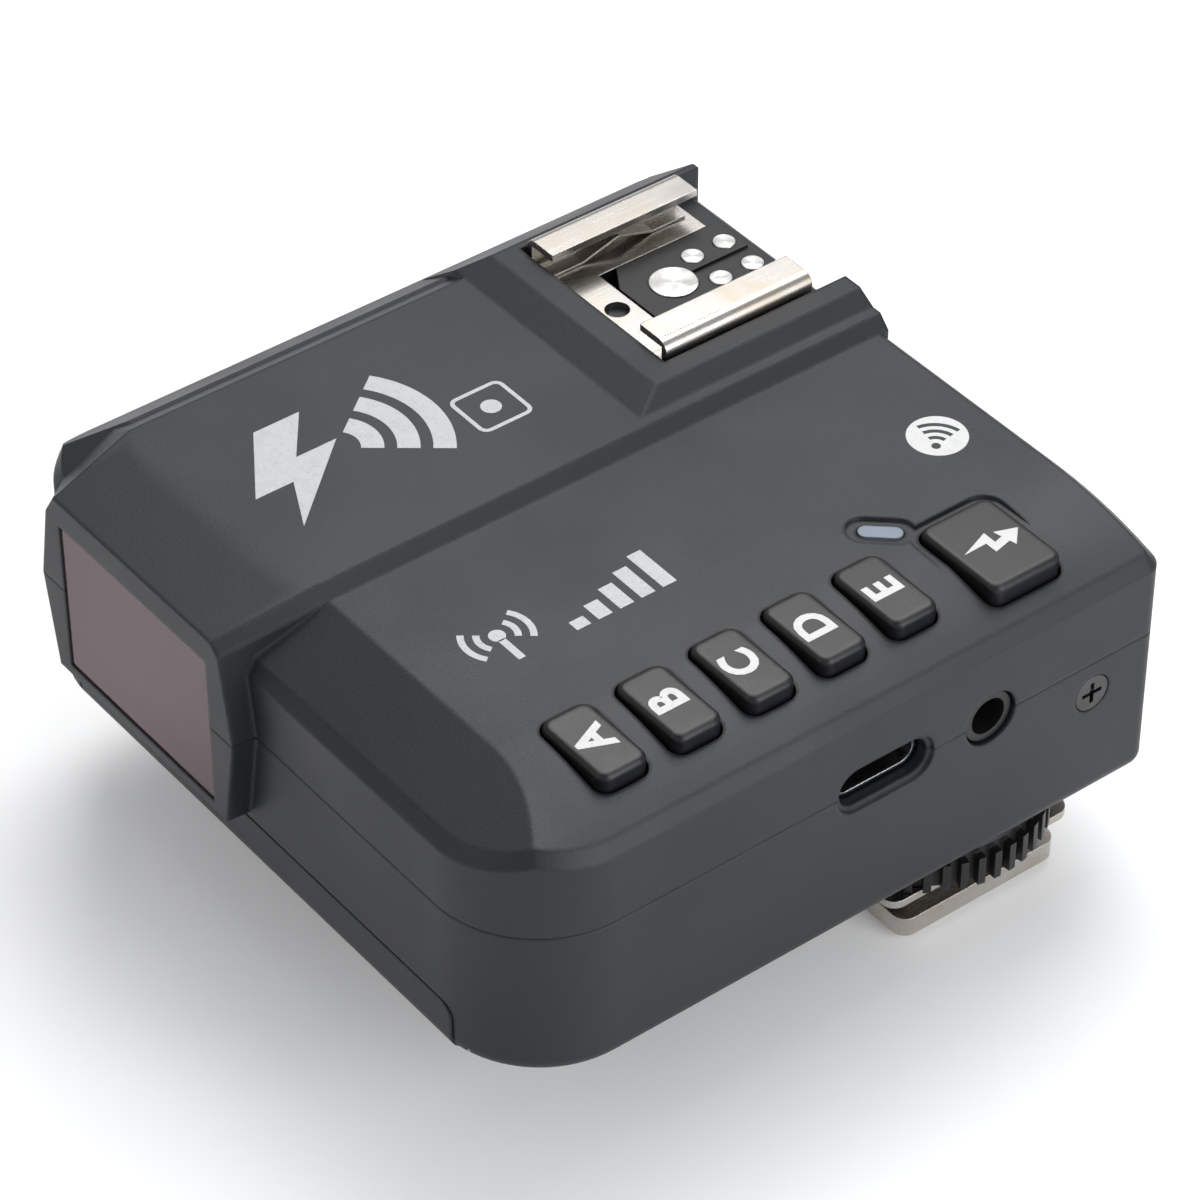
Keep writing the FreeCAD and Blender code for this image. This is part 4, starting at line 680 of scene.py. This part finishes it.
# %% Turn outlines into a thin piece on a body
def wear(piece, material, body):
    """Adds a finished piece to the scene, on its body."""
    piece.data.materials.clear()
    piece.data.materials.append(material)
    if piece.name not in bpy.context.scene.collection.objects:
        bpy.context.scene.collection.objects.link(piece)
    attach(piece, body)
    return piece


def thin_piece(name, outlines, to_frame, material, body, thick=INK):
    """Outlines in millimetres, given thickness and moved into the frame."""
    shape = bmesh.new()
    for outline in outlines:
        face = shape.faces.new([shape.verts.new((x * MM, y * MM, 0.0)) for x, y in outline])
        raised = bmesh.ops.extrude_face_region(shape, geom=[face])
        for item in raised["geom"]:
            if isinstance(item, bmesh.types.BMVert):
                item.co.z += thick
    bmesh.ops.transform(shape, matrix=to_frame, verts=shape.verts)
    bmesh.ops.recalc_face_normals(shape, faces=shape.faces)
    mesh = bpy.data.meshes.new(name)
    shape.to_mesh(mesh)
    shape.free()
    return wear(bpy.data.objects.new(name, mesh), material, body)


def read_along_y(x, y, z):
    """A plane facing up, whose writing runs towards +Y and stands towards -X."""
    turn = Matrix(((0, -1, 0, 0), (1, 0, 0, 0), (0, 0, 1, 0), (0, 0, 0, 1)))
    return Matrix.Translation((x, y, z)) @ turn


def read_from_behind(x, y, z):
    """A plane facing up, read by someone who stands behind the box."""
    return Matrix.Translation((x, y, z)) @ Matrix.Rotation(math.pi, 4, "Z")


print("planes ready")

# %% Print the large sign on the ridge
ridge_top = 37.45 * MM
bolt = [(5.0, 12.6), (0.0, 5.0), (3.9, 5.0), (1.2, -0.4), (10.2, 7.6), (6.0, 7.6), (9.8, 12.6)]
waves = [wave((9.4, 6.6), r, r + 2.0, -38, 38, 28) for r in (2.2, 5.3, 8.4)]
thin_piece("ridge_sign", [bolt] + waves, read_along_y(-31.45 * MM, -43.8 * MM, ridge_top),
           silver_ink, "casing")


def rounded_square(reach, radius):
    """A square whose corners turn about points that lie a reach from the middle."""
    corners = (((reach, -reach), -90), ((reach, reach), 0), ((-reach, reach), 90), ((-reach, -reach), 180))
    return [point for centre, start in corners
            for point in arc_points(centre, radius, start, start + 90, 6)]


outer, inner = rounded_square(1.9, 0.9), rounded_square(1.9, 0.5)
corner_count = len(outer)
box_sides = [[outer[i], outer[(i + 1) % corner_count], inner[(i + 1) % corner_count], inner[i]]
             for i in range(corner_count)]
box_dot = [arc_points((0, 0), 0.95, 0, 345, 23)]
thin_piece("boxed_sign", box_sides + box_dot, read_along_y(-34.5 * MM, -20.4 * MM, ridge_top),
           silver_ink, "casing")
print("ridge sign:", len(bolt) + sum(len(w) for w in waves), "points")

# %% Print the mast and bars, and the round sign, on the flat top
flat_top = 36.2 * MM
mast = [bar(3.6, 0.0, 0.7, 2.9), arc_points((3.95, 3.5), 0.75, 0, 342, 18)]
for radius in (1.45, 2.75):
    mast.append(wave((3.95, 3.5), radius, radius + 0.6, -38, 38))
    mast.append(wave((3.95, 3.5), radius, radius + 0.6, 142, 218))
bars = [bar(9.6 + 2.25 * i, 0.0, 1.45, 1.2 + 0.95 * i) for i in range(5)]
thin_piece("mast_and_bars_sign", mast + bars, read_along_y(-7.5 * MM, -41.3 * MM, flat_top),
           silver_ink, "casing")
disc = arc_points((0, 0), 2.74, 0, 354, 59)
thin_piece("round_sign_disc", [disc], read_along_y(-8.9 * MM, 8.57 * MM, flat_top), white_ink,
           "casing")
round_waves = [wave((-1.0, -1.0), r, r + 0.42, 8, 82, 16) for r in (0.95, 1.85, 2.75)]
round_waves.append(arc_points((-1.0, -1.0), 0.42, 0, 342, 18))
thin_piece("round_sign_waves", round_waves, read_along_y(-8.9 * MM, 8.57 * MM, flat_top + INK), dark_ink,
           "casing", INK / 2)
print("flat top signs printed")

# %% [markdown]
# ## Letters and icons on the keys
# The five group keys carry plain capital letters, which name a group of lights. They are Blender's own
# text objects with a slightly swollen outline, because printed capitals on keys are bold, and each one
# is made a mesh and turned before it rides on its key, so it goes down with the key. The test key has
# the zig-zag arrow that means flash everywhere.

# %% Set text as a thin mesh
def lettering(name, text, high, to_frame, material, body, swell=0.035, thick=INK):
    """Text whose capitals are as high as asked, centred on its plane's origin."""
    curve = bpy.data.curves.new(name, "FONT")
    curve.body = text
    curve.align_x = "CENTER"
    curve.align_y = "CENTER"
    curve.size = high / 0.70
    curve.offset = swell * high
    curve.extrude = thick / 2
    curve.resolution_u = 4
    source = bpy.data.objects.new(name + "_source", curve)
    bpy.context.scene.collection.objects.link(source)
    bpy.context.view_layer.update()
    drawn = source.evaluated_get(bpy.context.evaluated_depsgraph_get())
    mesh = bpy.data.meshes.new_from_object(drawn)
    bpy.data.objects.remove(source)
    mesh.transform(to_frame @ Matrix.Translation((0, 0, thick / 2)))
    mesh.name = name
    return wear(bpy.data.objects.new(name, mesh), material, body)


LETTER_HIGH = 3.0 * MM
for letter in "ABCDE":
    key = "key_" + letter.lower()
    place = middle(key)
    lettering("letter_" + letter, letter, LETTER_HIGH, read_from_behind(place.x, place.y, key_top),
              white_ink, key + "_body", 0.05)
print("letters are", LETTER_HIGH / MM, "mm high")

# %% Print the flash arrow on the test key
test_place = middle("test_key")
test_top = low_high("test_key")[1].z
arrow = [(-2.9, 0.0), (0.30, 1.20), (0.30, -0.25), (1.20, -0.02), (1.00, 0.85), (3.1, 0.05),
         (1.55, -1.55), (1.39, -0.85), (-0.45, -1.25), (-0.45, 0.05)]
thin_piece("flash_arrow", [arrow], read_along_y(test_place.x, test_place.y, test_top), white_ink,
           "test_key_body")
print("arrow at z", round(test_top / MM, 2), "mm")

# %% [markdown]
# ## The lens behind the lamp window
# In a dark room the trigger throws a red pattern for the camera to focus on, through a small lens that
# stands behind the window. From outside it is no more than a faint ring. Things that are round about an
# axis are lathed: a profile is drawn once and turned, here about an axis that points forwards.

# %% Lathe the lens and its ring
def lathe(name, profile, centre, steps, material, body):
    """Turns a closed profile of (radius, distance forwards) in mm about an axis along -Y."""
    shape = bmesh.new()
    rings = []
    for i in range(steps):
        turn = 2 * math.pi * i / steps
        rings.append([shape.verts.new((centre.x + r * MM * math.cos(turn), centre.y - f * MM,
                                       centre.z + r * MM * math.sin(turn))) for r, f in profile])
    count = len(profile)
    for i in range(steps):
        for j in range(count):
            near, far = rings[i], rings[(i + 1) % steps]
            shape.faces.new([near[j], near[(j + 1) % count], far[(j + 1) % count], far[j]])
    bmesh.ops.remove_doubles(shape, verts=shape.verts, dist=1e-7)
    bmesh.ops.recalc_face_normals(shape, faces=shape.faces)
    for face in shape.faces:
        face.smooth = True
    mesh = bpy.data.meshes.new(name)
    shape.to_mesh(mesh)
    shape.free()
    return wear(bpy.data.objects.new(name, mesh), material, body)


window_low, window_high = low_high("af_window")
lens_spot = Vector(((window_low.x + window_high.x) / 2, window_high.y + 0.9 * MM, 25.0 * MM))
ring_profile = [(3.3, 0.1), (3.3, 0.5), (3.55, 0.75), (3.95, 0.75), (4.2, 0.5), (4.2, 0.1)]
dome_curve = [(3.1 * t, 0.62 - 0.5 * t * t) for t in (0.3, 0.6, 0.85, 1.0)]
dome_profile = [(0.001, 0.0), (0.001, 0.62)] + dome_curve + [(3.1, 0.0)]
lens_red = tinted("focus_lens_red", (0.42, 0.05, 0.06), 0.97, 0.12)
lathe("focus_lens_ring", ring_profile, lens_spot, 64, lens_red, "casing")
lathe("focus_lens", dome_profile, lens_spot, 64, lens_red, "casing")
print("lens at", [round(v / MM, 1) for v in lens_spot])

# %% [markdown]
# ## Ribs that repeat
# The dial has ribs all round so that a thumb can turn it, and the battery door has a few where a thumb
# pushes it. Both are the same short rod, repeated, so both come from node trees: one stands rods on
# a circle and one on a line. Their sizes are the trees' inputs, and the result is made a plain mesh, which
# is then moved to its place and rides on the dial or the door.

# %% Build the two rib trees
def rod(tree, given):
    """A short rod of eight sides, with its size from the tree's inputs."""
    return geometry_node(tree, "GeometryNodeMeshCylinder", None,
                         {"Vertices": 8, "Radius": given.outputs["Rib radius"],
                          "Depth": given.outputs["Rib length"]})


def rib_inputs(tree):
    add_input(tree, "Count", "NodeSocketInt", 10)
    add_input(tree, "Rib radius", "NodeSocketFloat", 0.2 * MM)
    add_input(tree, "Rib length", "NodeSocketFloat", 2.0 * MM)
    add_input(tree, "Material", "NodeSocketMaterial")


def rib_ring_tree():
    """Rods that stand on a circle."""
    tree = new_tree("rib_ring")
    rib_inputs(tree)
    add_input(tree, "Ring radius", "NodeSocketFloat", 8.0 * MM)
    given = tree.nodes.new("NodeGroupInput")
    circle = geometry_node(tree, "GeometryNodeMeshCircle", {"fill_type": "NONE"},
                           {"Vertices": given.outputs["Count"], "Radius": given.outputs["Ring radius"]})
    ribs = geometry_node(tree, "GeometryNodeInstanceOnPoints", None,
                         {"Points": circle.outputs["Mesh"], "Instance": rod(tree, given).outputs["Mesh"]})
    return finish_tree(tree, ribs.outputs["Instances"], given.outputs["Material"])


def rib_row_tree():
    """Rods that lie along X, side by side along Y."""
    tree = new_tree("rib_row")
    rib_inputs(tree)
    add_input(tree, "Pitch", "NodeSocketFloat", 1.0 * MM)
    given = tree.nodes.new("NodeGroupInput")
    step = geometry_node(tree, "ShaderNodeCombineXYZ", None, {"Y": given.outputs["Pitch"]})
    line = geometry_node(tree, "GeometryNodeMeshLine", None,
                         {"Count": given.outputs["Count"], "Offset": step.outputs["Vector"]})
    ribs = geometry_node(tree, "GeometryNodeInstanceOnPoints", None,
                         {"Points": line.outputs["Mesh"], "Instance": rod(tree, given).outputs["Mesh"],
                          "Rotation": (0.0, math.pi / 2, 0.0)})
    return finish_tree(tree, ribs.outputs["Instances"], given.outputs["Material"])


def grown(name, tree, values, to_frame, material, body):
    """Runs a tree once, keeps its mesh, and puts that on a body."""
    holder = bpy.data.objects.new(name + "_holder", bpy.data.meshes.new(name + "_holder"))
    bpy.context.scene.collection.objects.link(holder)
    grow = holder.modifiers.new("grow", "NODES")
    grow.node_group = tree
    set_inputs(grow, {**values, "Material": material})
    bpy.context.view_layer.update()
    result = holder.evaluated_get(bpy.context.evaluated_depsgraph_get())
    mesh = bpy.data.meshes.new_from_object(result)
    bpy.data.objects.remove(holder)
    mesh.transform(to_frame)
    mesh.name = name
    return wear(bpy.data.objects.new(name, mesh), material, body)


rib_ring, rib_row = rib_ring_tree(), rib_row_tree()
print("trees:", rib_ring.name, rib_row.name)

# %% Rib the dial
dial_low, dial_high = low_high("select_dial")
dial_radius = (dial_high.z - dial_low.z) / 2
dial_spot = middle("select_dial")
dial_spot.y = case_high.y + 1.55 * MM
face_back = Matrix.Translation(dial_spot) @ Matrix.Rotation(-math.pi / 2, 4, "X")
dial_ribs = grown("dial_ribs", rib_ring, {"Count": 48, "Rib radius": 0.2 * MM, "Rib length": 2.1 * MM,
                                          "Ring radius": dial_radius}, face_back,
                  finishes["key_black"], "dial_body")
print("dial ribs:", len(dial_ribs.data.polygons), "faces at radius", round(dial_radius / MM, 2))

# %% Rib the battery door
latch_low, latch_high = low_high("door_latch")
door_low = low_high("battery_door")[0]
door_spot = Vector(((latch_low.x + latch_high.x) / 2, latch_low.y - 8.5 * MM, door_low.z))
door_ribs = grown("door_ribs", rib_row, {"Count": 6, "Rib radius": 0.22 * MM, "Rib length": 11.0 * MM,
                                         "Pitch": 1.1 * MM}, Matrix.Translation(door_spot),
                  finishes["casing"], "door_body")
print("door ribs:", len(door_ribs.data.polygons), "faces")

# %% [markdown]
# ## Marks on the shoe's lip
# Flashes slide in and out of the shoe for years, and the near lip shows it: a short row of tiny dark
# nicks where the metal turns over. It is the row tree again, with rods two tenths of a millimetre long.

# %% Nick the near lip
rail_low, rail_high = low_high("shoe_rails")
nick_spot = Vector((rail_high.x - 1.02 * MM, rail_low.y + 0.7 * MM, rail_high.z - 0.02 * MM))
lip_nicks = grown("lip_nicks", rib_row, {"Count": 22, "Rib radius": 0.055 * MM, "Rib length": 0.20 * MM,
                                         "Pitch": 0.29 * MM}, Matrix.Translation(nick_spot),
                  finishes["screw_black"], "casing")
print("lip nicks:", len(lip_nicks.data.polygons), "faces from y", round(nick_spot.y / MM, 1), "mm")

# %% [markdown]
# ## What the display shows
# A display that is off is a grey pane. Shown here are three of the groups with their power as plain
# fractions, the channel number, a battery and a row of bars. They are dark text and marks just in front
# of the panel, behind its cover.

# %% Write the display
def read_on_back(x, y, z):
    """A plane on the back wall: writing runs towards -X and stands upwards."""
    axes = Matrix(((-1, 0, 0, 0), (0, 0, 1, 0), (0, 1, 0, 0), (0, 0, 0, 1)))
    return Matrix.Translation((x, y, z)) @ axes


panel_low, panel_high = low_high("lcd_panel")
face_y = panel_high.y + 0.01 * MM
row_pitch = (panel_high.z - panel_low.z) / 4.6
powers = (("A", "1/4"), ("B", "1/16"), ("C", "1/64"))
for i, (group_name, power) in enumerate(powers):
    z = panel_high.z - row_pitch * (i + 1.55)
    lettering("display_group_" + group_name, group_name, 2.2 * MM,
              read_on_back(panel_high.x - 4.0 * MM, face_y, z), dark_ink, "casing")
    lettering("display_power_" + group_name, power, 2.2 * MM,
              read_on_back(panel_high.x - 14.0 * MM, face_y, z), dark_ink, "casing", 0.01)
lettering("display_channel", "CH 01", 1.6 * MM,
          read_on_back(panel_low.x + 6.0 * MM, face_y, panel_high.z - row_pitch * 0.6), dark_ink,
          "casing", 0.01)
battery_sign = [bar(0.0, 0.0, 3.4, 0.25), bar(0.0, 1.35, 3.4, 0.25), bar(0.0, 0.25, 0.25, 1.1),
                bar(3.15, 0.25, 0.25, 1.1), bar(3.4, 0.5, 0.35, 0.6), bar(0.5, 0.45, 0.7, 0.7),
                bar(1.4, 0.45, 0.7, 0.7)]
thin_piece("display_battery", battery_sign,
           read_on_back(panel_high.x - 2.0 * MM, face_y, panel_high.z - row_pitch * 0.85), dark_ink,
           "casing")
meter = [bar(1.15 * i, 0.0, 0.8, 0.9 + 0.25 * i) for i in range(8)]
thin_piece("display_meter", meter,
           read_on_back(panel_low.x + 11.0 * MM, face_y, panel_low.z + 1.6 * MM), dark_ink,
           "casing")
print("display rows every", round(row_pitch / MM, 2), "mm")

# %% Mark the keys and the dial at the back
rear_icons = {
    "key_menu": [bar(-1.3, 0.5 - 0.55 * i, 2.6, 0.25) for i in range(3)],
    "key_zoom": [wave((0.0, 0.0), 0.45, 0.7, 0, 359, 24), ribbon([(0.45, -0.45), (1.1, -1.05)], 0.3)],
    "key_mode": [wave((0.0, 0.0), 0.6, 0.85, 120, 420, 24), bar(-0.12, 0.35, 0.24, 0.8)],
}
for key, icon in rear_icons.items():
    place = middle(key)
    thin_piece(key + "_icon", icon, read_on_back(place.x, low_high(key)[1].y, place.z),
               white_ink, key + "_body")
place = middle("set_key")
lettering("set_key_word", "SET", 1.3 * MM, read_on_back(place.x, low_high("set_key")[1].y, place.z),
          white_ink, "set_key_body", 0.03)
print("rear marks on", len(rear_icons) + 1, "keys")

# %% [markdown]
# ## Finish
# A wide sheet of pale paper is the floor. It is staged, so it isn't part of the object. The cell then
# prints the sizes of the CAD model's box and of the dressed model's box.

floor_reach = 3.0
floor_corners = [(x * floor_reach, y * floor_reach, floor_z)
                 for x, y in ((-1, -1), (1, -1), (1, 1), (-1, 1))]
floor_mesh = bpy.data.meshes.new("floor")
floor_mesh.from_pydata(floor_corners, [], [(0, 1, 2, 3)])
floor = bpy.data.objects.new("floor", floor_mesh)
bpy.context.scene.collection.objects.link(floor)
paper = Finish("pale_paper", Roughness=0.9, Emission_Color=(1.0, 1.0, 1.0, 1.0), Emission_Strength=0.12)
fibre = paper.noise(40.0, detail=4.0)
paper.drive(Base_Color=paper.blend(fibre, (0.83, 0.83, 0.83), (0.86, 0.86, 0.86)),
            Normal=paper.bump(fibre, 0.2 * MM))
floor.data.materials.append(paper.material)
floor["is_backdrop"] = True

looks_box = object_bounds()
plain = {"cad": [list(corner) for corner in cad_box], "visual": [list(corner) for corner in looks_box]}
print("sizes in mm:", {k: [round((b - a) / MM, 2) for a, b in zip(*v)] for k, v in plain.items()})
